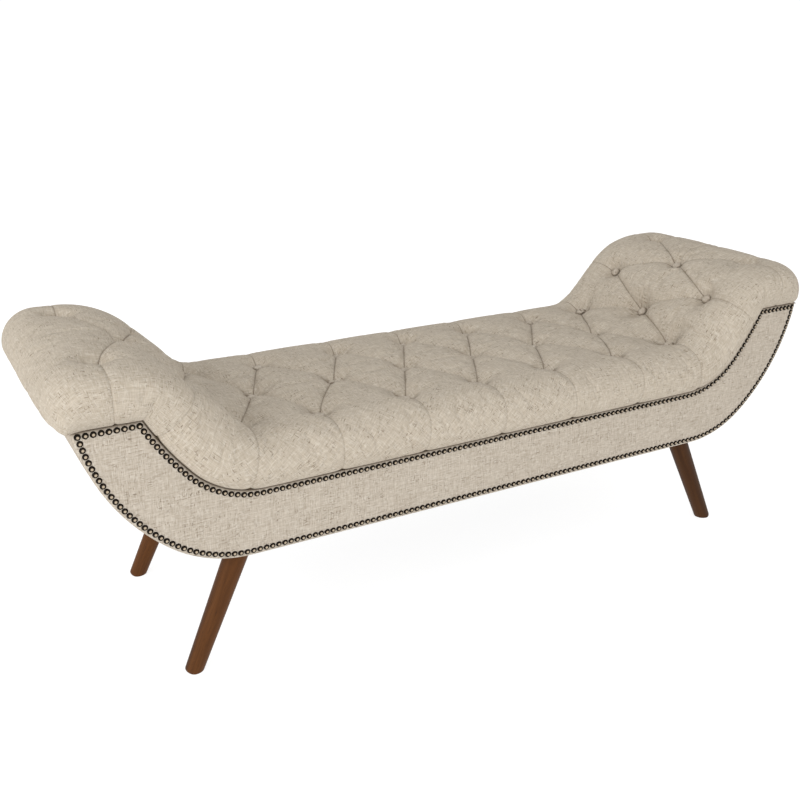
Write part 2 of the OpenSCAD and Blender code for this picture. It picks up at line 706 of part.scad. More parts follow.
module front_panel_cover() color(cloth) panel_cover();
module back_panel_cover() color(cloth) on_back() panel_cover();

// The end covers start beyond the legs, where the dust cover ends
dust_end_x = leg_x + leg_rail_out;
lip_y = board_y - lip_w;

module end_cover() {
    across(-lip_y, lip_y) intersection() {
        polygon(under_strip(0, wrap_t));
        translate([dust_end_x, 0]) square(far);
    }
}

module right_end_cover() color(cloth) end_cover();
module left_end_cover() color(cloth) on_left() end_cover();

module dust_cover() color(lining) difference() {
    across(-lip_y, lip_y) intersection() {
        polygon(under_strip(wrap_t - dust_t, wrap_t));
        translate([-dust_end_x, 0]) square([2 * dust_end_x, far]);
    }
    at_corners() on_leg_axis()
        translate([0, 0, -cut]) cylinder(h = 2 * cut, d = leg_top_d + 2 * dust_gap);
}

// Point at the length s along one half of a nail row: level, then two bends up to the arm's top
function on_row(s, z, flat, r1, a1, c2, r2) = let (l1 = r1 * a1 * rad)
    s < flat ? [s, z] :
    s < flat + l1 ? let (a = (s - flat) / r1 / rad) [flat + r1 * sin(a), z + r1 * (1 - cos(a))] :
    let (a = a1 + (s - flat - l1) / r2 / rad) c2 + r2 * [sin(a), -cos(a)];

module nail_at(p) {
    translate([p[0], -face_y, p[1]]) rotate([90, 0, 0])
        cylinder(h = nail_h, d1 = nail_d, d2 = nail_d * 0.45, $fn = 24);
}

// Evenly spaced nail heads along a whole row, with one at each end
module nail_row(z, flat, r1, a1, c2, r2, end_a) {
    half = flat + (r1 * a1 + r2 * (end_a - a1)) * rad;
    n = floor(2 * half / nail_pitch);
    for (i = [0 : n]) {
        s = (2 * i / n - 1) * half;
        p = on_row(abs(s), z, flat, r1, a1, c2, r2);
        nail_at([s < 0 ? -p[0] : p[0], p[1]]);
    }
}

module nail_trim() {
    d = nail_inset;
    top_z = top_edge_z - d;
    seam_c = seam_centre();
    under_c = under_centre();
    seam_a = seam_end_a(d, top_z);
    under_a = under_end_a(d, top_z);
    inner = seam_c + (seam_arm_r + d) * [sin(seam_a), -cos(seam_a)];
    outer = under_c + (under_arm_r - d) * [sin(under_a), -cos(under_a)];
    top_n = floor(norm(outer - inner) / nail_pitch);
    nail_row(seam_z - d, seam_flat, seam_bend_r + d, seam_bend_a, seam_c, seam_arm_r + d, seam_a);
    nail_row(underside_z + d, under_flat, under_bend_r - d, under_bend_a, under_c, under_arm_r - d, under_a);
    for (i = [1 : top_n - 1]) for (side = [-1, 1])
        nail_at([side * (inner[0] + (outer[0] - inner[0]) * i / top_n), top_z]);
}

module front_nail_trim() color(bronze) nail_trim();
module back_nail_trim() color(bronze) on_back() nail_trim();

front_side_board();
back_side_board();
seat_deck();
left_arm_deck();
right_arm_deck();
left_arm_cap();
right_arm_cap();
left_arm_rail();
right_arm_rail();
left_seat_rail();
right_seat_rail();
left_corner_rail();
right_corner_rail();
left_leg_rail();
right_leg_rail();
frame_screws();
front_left_leg();
front_right_leg();
back_left_leg();
back_right_leg();
hanger_bolts();
tee_nuts();
seat_foam();
left_arm_foam();
right_arm_foam();
tufted_cover();
tuft_buttons();
button_ties();
front_panel_cover();
back_panel_cover();
left_end_cover();
right_end_cover();
dust_cover();
front_nail_trim();
back_nail_trim();
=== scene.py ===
import math
from types import SimpleNamespace
import bmesh
import bpy
import numpy as np
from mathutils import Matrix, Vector


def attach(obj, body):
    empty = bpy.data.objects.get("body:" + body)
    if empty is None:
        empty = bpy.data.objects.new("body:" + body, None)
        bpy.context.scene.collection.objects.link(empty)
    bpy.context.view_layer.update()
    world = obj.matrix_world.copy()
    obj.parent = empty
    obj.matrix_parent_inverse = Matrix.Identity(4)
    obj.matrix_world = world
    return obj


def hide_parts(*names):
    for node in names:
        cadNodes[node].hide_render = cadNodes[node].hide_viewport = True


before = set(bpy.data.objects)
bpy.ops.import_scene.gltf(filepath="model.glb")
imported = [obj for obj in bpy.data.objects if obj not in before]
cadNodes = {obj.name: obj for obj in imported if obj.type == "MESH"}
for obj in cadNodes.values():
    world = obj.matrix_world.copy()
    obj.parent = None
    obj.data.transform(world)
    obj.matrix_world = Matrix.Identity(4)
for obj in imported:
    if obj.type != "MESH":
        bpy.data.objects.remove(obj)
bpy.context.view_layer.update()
scene = bpy.context.scene
scene.view_settings.view_transform = "Standard"
print("stage: frame loaded,", len(cadNodes), "nodes")


# shared curves of the bench, all lengths in metres; a bend is (radius, turn in degrees)

bench = {
    "seatFlat": 0.454, "seamZ": 0.325, "seamBend": (0.151, 49.0), "seamArm": (0.508, 13.417),
    "underFlat": 0.479, "underZ": 0.211, "underBend": (0.210, 39.0), "underArm": (0.354, 41.58),
    "armTopWidth": 0.1028, "topEdgeZ": 0.475, "faceY": 0.220, "boardY": 0.216,
    "crestFlat": 0.420, "crestZ": 0.411, "crestBend": (0.096, 47.0), "crestSlope": 0.07441,
    "shoulder": (0.192, 47.0), "rollFlat": 0.0205, "rollR": 0.0597, "tuckR": 0.022,
    "outerX": 0.7616, "lip": 0.012, "wrap": 0.0025, "dustEndX": 0.5275,
}


def arcPiece(radius, turn):
    return (radius * math.radians(abs(turn)), turn)


def wayAlong(start, pieces, step=0.0005):
    # a curve in X and Z made of (length, turn in degrees) pieces, as columns length, x, z, slope
    rows = [(0.0, start[0], start[1], 0.0)]
    for length, turn in pieces:
        count = max(1, int(length / step))
        d = length / count
        swing = math.radians(turn) / count
        for _ in range(count):
            s, x, z, a = rows[-1]
            half = a + swing / 2
            rows.append((s + d, x + d * math.cos(half), z + d * math.sin(half), a + swing))
    return np.array(rows).T


def onWay(way, s, inward=0.0):
    # the point at length s, moved by inward along the normal that points down from a level stretch
    x, z, a = (np.interp(s, way[0], way[i]) for i in (1, 2, 3))
    return x + inward * np.sin(a), z - inward * np.cos(a), a


crestWay = wayAlong((0, bench["crestZ"]), [
    (bench["crestFlat"], 0), arcPiece(*bench["crestBend"]), (bench["crestSlope"], 0),
    arcPiece(bench["shoulder"][0], -bench["shoulder"][1]), (bench["rollFlat"], 0),
    arcPiece(bench["rollR"], -90), arcPiece(bench["tuckR"], -90)])
seamWay = wayAlong((0, bench["seamZ"]), [
    (bench["seatFlat"], 0), arcPiece(*bench["seamBend"]), arcPiece(*bench["seamArm"]),
    (0, -bench["seamBend"][1] - bench["seamArm"][1]), (bench["armTopWidth"], 0)])
underWay = wayAlong((0, bench["underZ"]), [
    (bench["underFlat"], 0), arcPiece(*bench["underBend"]), arcPiece(*bench["underArm"])])


def smoothLine(points, count):
    # evenly spaced points on a smooth curve through the given ones, and its length
    p = np.array(points, float)
    p = np.vstack([2 * p[0] - p[1], p, 2 * p[-1] - p[-2]])
    t = np.linspace(0, 1, 24, endpoint=False)[:, None]
    parts = []
    for a, b, c, d in zip(p, p[1:], p[2:], p[3:]):
        parts.append(0.5 * (2 * b + (c - a) * t + (2 * a - 5 * b + 4 * c - d) * t ** 2
                            + (3 * b - a - 3 * c + d) * t ** 3))
    line = np.vstack(parts + [p[-2:-1]])
    run = np.concatenate([[0], np.cumsum(np.linalg.norm(np.diff(line, axis=0), axis=1))])
    s = np.linspace(0, run[-1], count)
    return np.array([np.interp(s, run, line[:, i]) for i in range(line.shape[1])]).T, run[-1]


def rise(x, start, length):
    # 0 up to the start, then up to 1 over the length
    return np.clip((x - start) / length, 0, 1)


def fall(x, end, length):
    # 1, then down to 0 over the length before the end
    return np.clip((end - x) / length, 0, 1)


def hill(x, middle, width):
    # 1 in the middle, fading to both sides
    return np.exp(-((x - middle) / width) ** 2)


def smoothStep(t):
    return t * t * (3 - 2 * t)


# node helpers

def wire(tree, kind, inputs=(), out=0, **settings):
    # adds a node, sets or links its inputs by place or name, and gives back one output
    n = tree.nodes.new(kind)
    for key, value in settings.items():
        setattr(n, key, value)
    pairs = inputs.items() if isinstance(inputs, dict) else enumerate(inputs)
    for key, value in pairs:
        if isinstance(value, bpy.types.NodeSocket):
            tree.links.new(value, n.inputs[key])
        else:
            n.inputs[key].default_value = value
    return n.outputs[out]


def maths(tree, operation, *inputs):
    return wire(tree, "ShaderNodeMath", inputs, operation=operation)


def times(tree, first, second):
    return maths(tree, "MULTIPLY", first, second)


def plus(tree, first, second):
    return maths(tree, "ADD", first, second)


def spread(tree, value, low, high, first, last):
    # takes low to first and high to last, and stays between them
    return wire(tree, "ShaderNodeMapRange", [value, low, high, first, last])


def noise(tree, vector, scale, detail=2.0, distortion=0.0):
    return wire(tree, "ShaderNodeTexNoise", {"Vector": vector, "Scale": scale, "Detail": detail,
                                             "Distortion": distortion})


def stretched(tree, vector, scale):
    return wire(tree, "ShaderNodeMapping", {"Vector": vector, "Scale": scale})


def split(tree, vector):
    n = tree.nodes.new("ShaderNodeSeparateXYZ")
    tree.links.new(vector, n.inputs[0])
    return n.outputs


def attribute(tree, name):
    return wire(tree, "ShaderNodeAttribute", out=2, attribute_name=name)


def objectPlace(tree, turn=(0, 0, 0)):
    return wire(tree, "ShaderNodeMapping", {"Vector": wire(tree, "ShaderNodeTexCoord", out=3),
                                            "Rotation": turn})


def ramp(tree, value, stops):
    n = tree.nodes.new("ShaderNodeValToRGB")
    tree.links.new(value, n.inputs[0])
    while len(n.color_ramp.elements) < len(stops):
        n.color_ramp.elements.new(0.5)
    for element, (place, colour) in zip(n.color_ramp.elements, stops):
        element.position = place
        element.color = (*colour, 1)
    return n.outputs[0]


def blend(tree, factor, first, second, mode="MIX"):
    n = tree.nodes.new("ShaderNodeMix")
    n.data_type, n.blend_type = "RGBA", mode
    for socket, value in ((n.inputs[0], factor), (n.inputs[6], first), (n.inputs[7], second)):
        if isinstance(value, bpy.types.NodeSocket):
            tree.links.new(value, socket)
        else:
            socket.default_value = value if isinstance(value, (int, float)) else (*value, 1)
    return n.outputs[2]


def freshMaterial(name, **onShader):
    m = bpy.data.materials.new(name)
    m.use_nodes = True
    shader = m.node_tree.nodes["Principled BSDF"]
    for key, value in onShader.items():
        shader.inputs[key.replace("_", " ")].default_value = value
    return m, m.node_tree, shader


def finishMaterial(tree, shader, colour, roughness, height, strength, distance):
    tree.links.new(colour, shader.inputs["Base Color"])
    tree.links.new(roughness, shader.inputs["Roughness"])
    bump = wire(tree, "ShaderNodeBump", {"Strength": strength, "Distance": distance, "Height": height})
    tree.links.new(bump, shader.inputs["Normal"])


# linen

threadPitch = 0.00090
linen = {
    "base": (0.510, 0.447, 0.368), "light": (0.590, 0.526, 0.443), "dark": (0.420, 0.360, 0.290),
    "slub": (0.150, 0.108, 0.072), "slubStrength": 0.72,
    "paleSlub": (0.720, 0.670, 0.590), "paleStrength": 0.38,
    # crease: colour and strength of the painted shade in creases and along seams
    "crease": (0.090, 0.058, 0.032), "creaseStrength": 0.88,
    "wobbleScale": 38.0, "wobble": 0.0016, "patchScale": 34.0, "cloudScale": 9.0,
    "threadShare": 0.23, "bandShare": 0.22, "toneShare": 0.82, "cloudShare": 0.18, "gapShade": 0.92,
    # for the warp and the weft: dashes per metre along and across, seed, and the noise where
    # a dash starts and where it's full
    "threads": ((30, 1 / threadPitch / 1.5, 3.1, 0.3, 0.7), (34, 1 / threadPitch / 1.5, 7.9, 0.3, 0.7)),
    "bands": ((42, 330, 5.3, 0.25, 0.75), (48, 350, 9.7, 0.25, 0.75)),
    "slubs": ((85, 600, 11.3, 0.68, 0.75), (100, 620, 17.7, 0.69, 0.76)),
    "paleSlubs": ((90, 470, 23.9, 0.60, 0.72), (90, 470, 29.3, 0.60, 0.72)),
}


def streaks(tree, vector, along, across, seed, low, high):
    # dashes that run along one thread direction
    place = wire(tree, "ShaderNodeMapping", {"Vector": vector, "Location": (seed, seed * 1.7, 0),
                                             "Scale": (along, across, 1)})
    field = wire(tree, "ShaderNodeTexNoise", {"Vector": place, "Scale": 1.0, "Detail": 1.0, "Roughness": 0.4},
                 noise_dimensions="2D")
    return spread(tree, field, low, high, 0.0, 1.0)


def crossed(tree, operation, cloth, turned, pair):
    # streaks along the warp and along the weft, put together
    return maths(tree, operation, streaks(tree, cloth, *pair[0]), streaks(tree, turned, *pair[1]))


def linenMaterial(name, g):
    m, tree, shader = freshMaterial(name, Sheen_Weight=0.02, Sheen_Roughness=0.45, Specular_IOR_Level=0.05)
    uv = wire(tree, "ShaderNodeUVMap", uv_map="weave")
    wobble = wire(tree, "ShaderNodeTexNoise", {"Vector": uv, "Scale": g["wobbleScale"], "Detail": 2.0}, out=1)
    lean = wire(tree, "ShaderNodeVectorMath", [wobble, (0.5, 0.5, 0.5)], operation="SUBTRACT")
    push = wire(tree, "ShaderNodeVectorMath", {0: lean, "Scale": g["wobble"]}, operation="SCALE")
    cloth = wire(tree, "ShaderNodeVectorMath", [uv, push], operation="ADD")
    turned = wire(tree, "ShaderNodeMapping", {"Vector": cloth, "Rotation": (0, 0, math.pi / 2)})
    parts = split(tree, cloth)
    # plain weave: each thread rises over one neighbour and dips under the next
    warp = maths(tree, "SINE", times(tree, parts[0], math.pi / threadPitch))
    weft = maths(tree, "SINE", times(tree, parts[1], math.pi / threadPitch))
    weave = maths(tree, "ABSOLUTE", times(tree, warp, weft))
    # single threads, and bands of a few threads that are thicker or paler together
    threads = crossed(tree, "ADD", cloth, turned, g["threads"])
    bands = crossed(tree, "ADD", cloth, turned, g["bands"])
    tone = plus(tree, times(tree, threads, g["threadShare"]), times(tree, bands, g["bandShare"]))
    # slubs: thick dark dashes, gathered in patches, and pale ones all over
    patches = spread(tree, noise(tree, cloth, g["patchScale"], 1.0), 0.40, 0.60, 0.15, 1.0)
    slubs = times(tree, crossed(tree, "MAXIMUM", cloth, turned, g["slubs"]), patches)
    paleSlubs = crossed(tree, "MAXIMUM", cloth, turned, g["paleSlubs"])
    cloudy = noise(tree, cloth, g["cloudScale"], 3.0)
    shade = plus(tree, times(tree, tone, g["toneShare"]), times(tree, cloudy, g["cloudShare"]))
    colour = ramp(tree, shade, [(0.26, g["dark"]), (0.5, g["base"]), (0.76, g["light"])])
    colour = blend(tree, times(tree, paleSlubs, g["paleStrength"]), colour, g["paleSlub"])
    colour = blend(tree, times(tree, slubs, g["slubStrength"]), colour, g["slub"])
    gaps = spread(tree, weave, 0.0, 0.35, g["gapShade"], 1.0)
    colour = blend(tree, 1.0, colour, wire(tree, "ShaderNodeCombineColor", [gaps, gaps, gaps]), "MULTIPLY")
    # painted shade in the creases and along the seams, where shadow falls
    colour = blend(tree, times(tree, attribute(tree, "fold"), g["creaseStrength"]), colour, g["crease"])
    rough = spread(tree, tone, 0.0, 1.0, 0.98, 0.82)
    relief = plus(tree, times(tree, tone, 0.45), times(tree, plus(tree, slubs, paleSlubs), 0.4))
    height = plus(tree, times(tree, weave, 0.35), relief)
    finishMaterial(tree, shader, colour, rough, height, 0.6, 0.0009)
    return m


# painted light: the pad's copy of the same linen is a little lighter and warmer than the sides', to match how
# the pad is lit
padLinen = linenMaterial("padLinen", {**linen, "base": (0.522, 0.455, 0.367), "light": (0.588, 0.520, 0.427),
                                      "dark": (0.446, 0.382, 0.302)})
sideLinen = linenMaterial("sideLinen", linen)
print("stage: linen")


# mesh helpers

def meshPiece(name, points, faces, material, uv=None, attributes=None):
    # uv is one place per point, or a function that gives one per face corner
    mesh = bpy.data.meshes.new(name)
    mesh.from_pydata([tuple(p) for p in points], [], [tuple(f) for f in faces])
    if uv is not None:
        layer = mesh.uv_layers.new(name="weave")
        loopVerts = np.zeros(len(mesh.loops), np.int32)
        mesh.loops.foreach_get("vertex_index", loopVerts)
        values = uv(loopVerts, mesh) if callable(uv) else np.asarray(uv)[loopVerts]
        layer.data.foreach_set("uv", np.asarray(values, np.float32).ravel())
    for key, values in (attributes or {}).items():
        a = mesh.attributes.new(key, "FLOAT", "POINT")
        a.data.foreach_set("value", np.asarray(values, np.float32).ravel())
    mesh.polygons.foreach_set("use_smooth", [True] * len(mesh.polygons))
    mesh.materials.append(material)
    mesh.update()
    piece = bpy.data.objects.new(name, mesh)
    scene.collection.objects.link(piece)
    return piece


def gridFaces(columns, rows, first=0):
    # quads between closed rings of points that are stored ring by ring
    i, j = np.meshgrid(np.arange(columns - 1), np.arange(rows), indexing="ij")
    k = (j + 1) % rows
    corners = [i * rows + j, i * rows + k, (i + 1) * rows + k, (i + 1) * rows + j]
    return [tuple(f) for f in first + np.stack(corners, -1).reshape(-1, 4)]


def tubeFaces(columns, rows):
    # the same, with one face over each end
    last = (columns - 1) * rows
    return gridFaces(columns, rows) + [tuple(range(rows)), tuple(range(last + rows - 1, last - 1, -1))]


def outwards(piece):
    bm = bmesh.new()
    bm.from_mesh(piece.data)
    bmesh.ops.recalc_face_normals(bm, faces=bm.faces)
    bm.to_mesh(piece.data)
    bm.free()


# the tufted cover

cover = {
    # u is the station: it counts the buttons of an outer row from the bench's middle
    "lastTuft": 5, "endStation": 6, "stepsPerTuft": 96, "rowsPerTuft": 48, "edgeRows": 48, "simStep": 3,
    "rowGap": 0.141, "foldGap": 0.122, "padHeight": 0.086, "crown": 0.004, "endTaper": 0.03,
    "padThickness": 0.0437, "innerY": 0.1983, "innerReach": 0.30, "underRoll": 0.0223, "seamLift": 0.0004,
    # the second buttons from the middle stand further out
    "pushedBy": 0.014, "pushedAt": (2, 0.35),
    # folds: depth and half widths, and how they fade on the borders, at the seam and on the arms
    "foldDepth": 0.0085, "softFold": 0.017, "sharpFold": 0.0085, "foldPower": 1.4, "middleFold": 0.35,
    "borderFade": 0.012, "valleyAtSeam": 0.0010, "frontReach": 0.050, "backReach": 0.020,
    "rollFold": 0.45, "rollFoldFrom": 4.4, "openReach": 0.034, "openWidth": 0.0080, "openDepth": 0.4,
    # dimples round the buttons
    "buttonDepth": 0.0245, "bendDepth": 0.011, "bendAt": (3.5, 0.35), "frontRise": 0.003, "backRise": 0.005,
    "dimpleFloor": 0.0092, "dimpleWidth": 0.0125, "dimpleBorder": 0.05, "lastDimple": 5.3,
    "wider": 0.6, "widerAt": (3.4, 0.45),
    # creases: shares at the seam and added towards the rows, and of the soft family everywhere,
    # added on the right arm and added by the buttons
    "creaseDepth": 0.0011, "creaseWidth": 0.0014, "sharpCrease": (0.35, 0.65), "pleatFade": 0.05,
    "softCrease": (0.14, 0.22, 0.80), "rightArmFrom": 3.2, "smile": (0.010, 0.015),
    "middleCrease": 0.3, "creaseStart": (0.0072, 0.003),
    # shade in the creases, round the buttons, under the pillows in front of them, and at the seam
    "creaseShade": 0.95, "creaseShares": (0.55, 0.45), "creaseNear": (0.012, 0.030),
    "ringAt": 0.0099, "ringWidth": 0.0022, "ringShade": 0.80,
    "pillowWidth": 0.0042, "pillowShade": 0.80, "pillowFade": 0.65, "pillowFadeFrom": 2.8,
    "lipAt": (0.018, 0.0048), "lipShade": 0.62, "lipEnd": 4, "seamShade": 0.9, "seamShadeWidth": 0.0035,
    # [front, back] of each roll: how round its end is, how far it stands out, how far it's tucked in
    "roundLeft": (0.35, 0.10), "roundRight": (0.62, 0.30), "roundSpan": (5.1, 0.55),
    "outLeft": (0.0055, 0.0060), "outRight": (-0.0055, 0.0020), "outSpan": (4.5, 0.9), "outSteep": 4,
    "tuckLeft": (0.10, 0.0), "tuckRight": (1.0, 0.4), "tuckSpan": (5.35, 0.65), "tuckSide": (0.12, 0.09),
    "tuckEnd": 0.10, "tuckSteep": 6, "tuckIn": 0.018, "tuckNarrow": 0.040,
    "notchHeight": 0.0022, "notchWidth": 0.0040, "notchReach": 0.012,
    # the borders' left half is cut on the bias
    "biasFrom": 0.165, "biasSpan": (-0.50, 0.14), "biasShift": 3.0,
    # how firmly the cloth is held while it is blown up, and how its movement is limited afterwards
    "holdFold": (1.6, 0.004), "holdButton": (1.8, 0.008), "holdSeam": (1.5, 0.016), "holdEnd": (12, 10.8),
    "frames": 20, "furthestMove": 0.0035, "backTight": (0.55, 0.11, 0.05), "rollTight": (0.65, 5.0, 0.5),
}
# [distance from the middle, height above the seam] of the pad's side, for a pad 86 mm high
edgeProfile = [
    (0.141, 0.086), (0.160, 0.086), (0.180, 0.0854), (0.199, 0.083), (0.215, 0.0778), (0.2275, 0.0697),
    (0.2345, 0.0593), (0.2375, 0.0473), (0.2375, 0.0344), (0.235, 0.0224), (0.2305, 0.0120),
    (0.2245, 0.0034), (0.2202, 0.0004)]
# the rounder side of the pad at the ends of the rolls
rollProfile = [
    (0.141, 0.086), (0.160, 0.0851), (0.175, 0.0830), (0.190, 0.0783), (0.205, 0.0714), (0.217, 0.0628),
    (0.226, 0.0525), (0.231, 0.0413), (0.232, 0.0310), (0.230, 0.0206), (0.2265, 0.0112),
    (0.2225, 0.0034), (0.2202, 0.0004)]
# stations, and the lengths along the crest and the seam that they stand at
crestTable = ([0, 3, 4, 5, 5.667, 6], [0, 0.4594, 0.5805, 0.72265, 0.8449, 0.8795])
seamTable = ([0, 3, 4, 4.5, 5, 6], [0, 0.4785, 0.6664, 0.7021, 0.7422, 0.8049])
# stations, and how far the middle row is shifted there
middleShift = ([0, 0.5, 1.5, 2.5, 3.5, 4.5, 6], [0, 0, -0.004, 0.002, -0.008, -0.003, 0])


def crestLength(u, v=1.0):
    # length along the crest at a station: v is 1 or -1 on an outer row of buttons, 0 on the middle one
    outer = np.interp(u, *crestTable) + cover["pushedBy"] * hill(u, *cover["pushedAt"])
    return outer + (1 - np.minimum(np.abs(v), 1)) * np.interp(u, *middleShift)


def foldDistances(u, v):
    # distance in metres to the nearest fold of each family and to the one along the middle of a roll,
    # u counted from the middle of the seat
    farAway = 9.0
    a, b = u + v / 2 - 0.5, u - v / 2 - 0.5
    beyond = np.minimum(a, b) - (cover["lastTuft"] - 1)
    outside = beyond > 0
    first = np.where(outside, beyond, np.abs(a - np.round(a)))
    second = np.where(outside, farAway, np.abs(b - np.round(b)))
    middle = np.where(outside, np.abs(v) * cover["rowGap"], farAway)
    return first * cover["foldGap"], second * cover["foldGap"], middle, outside


def buttonDistance(u, w, s):
    # along the cloth, to the nearest button, and how far in front of it:
    # w is the length across from the middle line, s the length along the crest
    last, gap = cover["lastTuft"], cover["rowGap"]
    notZero = 1e-9
    outer = np.clip(np.round(u), -last, last)
    inner = np.clip(np.floor(u) + 0.5, 0.5 - last, last - 0.5)
    toOuter = np.hypot(s - crestLength(np.abs(outer)) * np.sign(outer + notZero), np.abs(w) - gap)
    toInner = np.hypot(s - crestLength(np.abs(inner), 0.0) * np.sign(inner), w)
    ahead = np.where(toOuter < toInner, gap * np.sign(w + notZero) - w, -w)
    return np.minimum(toOuter, toInner), ahead


def tuftDepth(u, v):
    # deepest where the seat bends up, and less deep in parts of the front and back rows
    c, au = cover, np.abs(u)
    inFront = (v < -0.5) * fall(au, 3.5, 1)
    inBack = (v > 0.5) * rise(au, 1, 1) * fall(au, 4, 1)
    return (c["buttonDepth"] + c["bendDepth"] * hill(au, *c["bendAt"])
            - c["frontRise"] * inFront - c["backRise"] * inBack)


def coverGrid():
    # the stations of the columns, and for each row: v, the length past the outer buttons, and for the
    # seat and then for the rolls y, share of the pad's height, and the normal's two parts
    c = cover
    end = c["endStation"] * c["stepsPerTuft"]
    columns = np.arange(-end, end + 1) / c["stepsPerTuft"]
    edge, edgeLength = smoothLine(edgeProfile, c["edgeRows"] + 1)
    rollEdge, _ = smoothLine(rollProfile, c["edgeRows"] + 1)
    top = np.arange(-c["rowsPerTuft"], c["rowsPerTuft"] + 1) / c["rowsPerTuft"]
    past = np.linspace(0, edgeLength, c["edgeRows"] + 1)[1:]
    v = np.concatenate([-np.ones(c["edgeRows"]), top, np.ones(c["edgeRows"])])
    r = np.concatenate([past[::-1], np.zeros(len(top)), past])
    fields = [v, r]
    for line in (edge, rollEdge):
        y = np.concatenate([-line[:0:-1, 0], top * c["rowGap"], line[1:, 0]])
        z = np.concatenate([line[:0:-1, 1], np.full(len(top), c["padHeight"]), line[1:, 1]])
        tangent = np.gradient(np.stack([y, z]), axis=1)
        tangent /= np.linalg.norm(tangent, axis=0)
        fields += [y, z / c["padHeight"], -tangent[1], tangent[0]]
    return columns, fields, edgeLength


def rollEnds(u, v):
    # how round the roll's end is here, how far it stands out and how far it's tucked in
    isBack = np.clip(0.5 + v / 2, 0, 1)
    mixed = []
    for key in ("round", "out", "tuck"):
        left, right = cover[key + "Left"], cover[key + "Right"]
        mixed.append(np.where(u < 0, left[0] * (1 - isBack) + left[1] * isBack,
                              right[0] * (1 - isBack) + right[1] * isBack))
    return mixed


def clothPlace(columns, rowFields, edgeLength):
    # for every point of the grid: its place on the cloth, and how far it is from folds and buttons
    c = cover
    u = columns[:, None] * np.ones_like(rowFields[0])[None]
    v, r = (np.ones_like(u) * row[None] for row in rowFields[:2])
    au, sign = np.abs(u), np.where(u < 0, -1.0, 1.0)
    roundness, standOut, tuck = rollEnds(u, v)
    # towards the rolls the pad's side turns into the rounder one
    share = smoothStep(rise(au, *c["roundSpan"]))
    seatAndRoll = zip(rowFields[2:6], rowFields[6:])
    y, h, ny, nu = (a[None] + (b - a)[None] * share * roundness for a, b in seatAndRoll)
    s = crestLength(au, v)
    first, second, middle, outside = foldDistances(au, v)
    # on the left half the two families change places, so that each keeps its direction
    across, along = np.where(u < 0, second, first), np.where(u < 0, first, second)
    across, along = np.where(outside, first, across), np.where(outside, first, along)
    near, ahead = buttonDistance(u, np.where(r > 0, (c["rowGap"] + r) * np.sign(y), y), s * sign)
    rollU = np.clip(au - c["lastTuft"], 0, 1)
    rollFade = np.clip(1 - 2 * rollU, 0, 1)
    return SimpleNamespace(
        u=u, v=v, r=r, au=au, sign=sign, y=y, h=h, ny=ny, nu=nu, s=s, standOut=standOut, tuck=tuck,
        first=first, second=second, middle=middle, across=across, along=along, near=near, ahead=ahead,
        rollU=rollU, rollFade=rollFade, fade=np.where(outside, rollFade, 1), toSeam=edgeLength - r,
        smile=np.exp(-np.maximum(near - c["smile"][0], 0) / c["smile"][1]))


def sunkBy(p):
    # how far the cloth lies under the pad's smooth surface
    c = cover
    # close to a button the sharp fold opens into a wider and deeper groove
    opening = hill(p.near, 0, c["openReach"])
    groove = np.maximum(p.along - c["openWidth"] * opening, 0)
    soft = np.exp(-(p.across / c["softFold"]) ** c["foldPower"]) * (1 - rise(p.r, 0, c["borderFade"]))
    valley = 1 - (1 - soft) * (1 - np.exp(-groove / c["sharpFold"]))
    valley = np.maximum(valley, c["middleFold"] * np.exp(-p.middle / c["softFold"]) * p.rollFade)
    reach = np.where(p.y < 0, c["frontReach"], c["backReach"])
    depth = c["valleyAtSeam"] + (c["foldDepth"] - c["valleyAtSeam"]) * hill(p.r, 0, reach)
    depth = depth * (1 - (1 - c["rollFold"]) * rise(p.au, c["rollFoldFrom"], 1))
    depth = depth * (1 + c["openDepth"] * opening)
    # the dimples are wider where the seat bends up
    rim = np.maximum(p.near - c["dimpleFloor"], 0) / (1 + c["wider"] * hill(p.au, *c["widerAt"]))
    pit = np.exp(-(rim / c["dimpleWidth"]) ** c["foldPower"])
    pit = pit * np.where(p.au > c["lastDimple"], p.rollFade, 1) * (1 - rise(p.r, 0, c["dimpleBorder"]))
    return valley * depth * p.fade * (1 - pit) + tuftDepth(p.u, p.v) * pit


def creaseLine(p):
    # the crease itself, crisp along the sharp family and only near its buttons along the soft one
    c = cover
    atSeam, towardsRows = c["sharpCrease"]
    everywhere, onRightArm, byButton = c["softCrease"]
    sharp = (1 - rise(p.along, 0, c["creaseWidth"])) * (atSeam + towardsRows * np.exp(-p.r / c["pleatFade"]))
    soft = (1 - rise(p.across, 0, c["creaseWidth"])) * (p.r == 0) * (
        everywhere + onRightArm * rise(p.u, c["rightArmFrom"], 1) + byButton * p.smile)
    middle = (1 - rise(p.middle, 0, c["creaseWidth"])) * c["middleCrease"]
    return np.max([sharp, soft, middle], axis=0) * p.fade * rise(p.near, *c["creaseStart"])


def creaseShade(p, line):
    # how much painted shade each point has: in the creases, round the buttons, on the lip in front of them
    # and along the seam, where shadow falls
    c = cover
    start, length = c["creaseNear"]
    least, byButton = c["creaseShares"]
    crease = line * c["creaseShade"] * (least + byButton * np.exp(-np.maximum(p.near - start, 0) / length))
    ring = np.clip(1 - np.abs(p.near - c["ringAt"]) / c["ringWidth"], 0, 1) * c["ringShade"]
    # the shade of the pillow that leans over each button from the front
    pillow = hill(p.across, 0, c["pillowWidth"]) * p.smile * c["pillowShade"] * (p.r == 0) * p.fade
    pillow = pillow * (1 - c["pillowFade"] * rise(p.au, c["pillowFadeFrom"], 1))
    forward = np.clip(p.ahead / np.maximum(p.near, 1e-6), 0, 1)
    lip = hill(p.near, *c["lipAt"]) * forward * c["lipShade"] * fall(p.au, c["lipEnd"], 1)
    seam = (1 - rise(p.toSeam, 0, c["seamShadeWidth"])) * c["seamShade"]
    return np.max([crease, ring, pillow, lip, seam], axis=0)


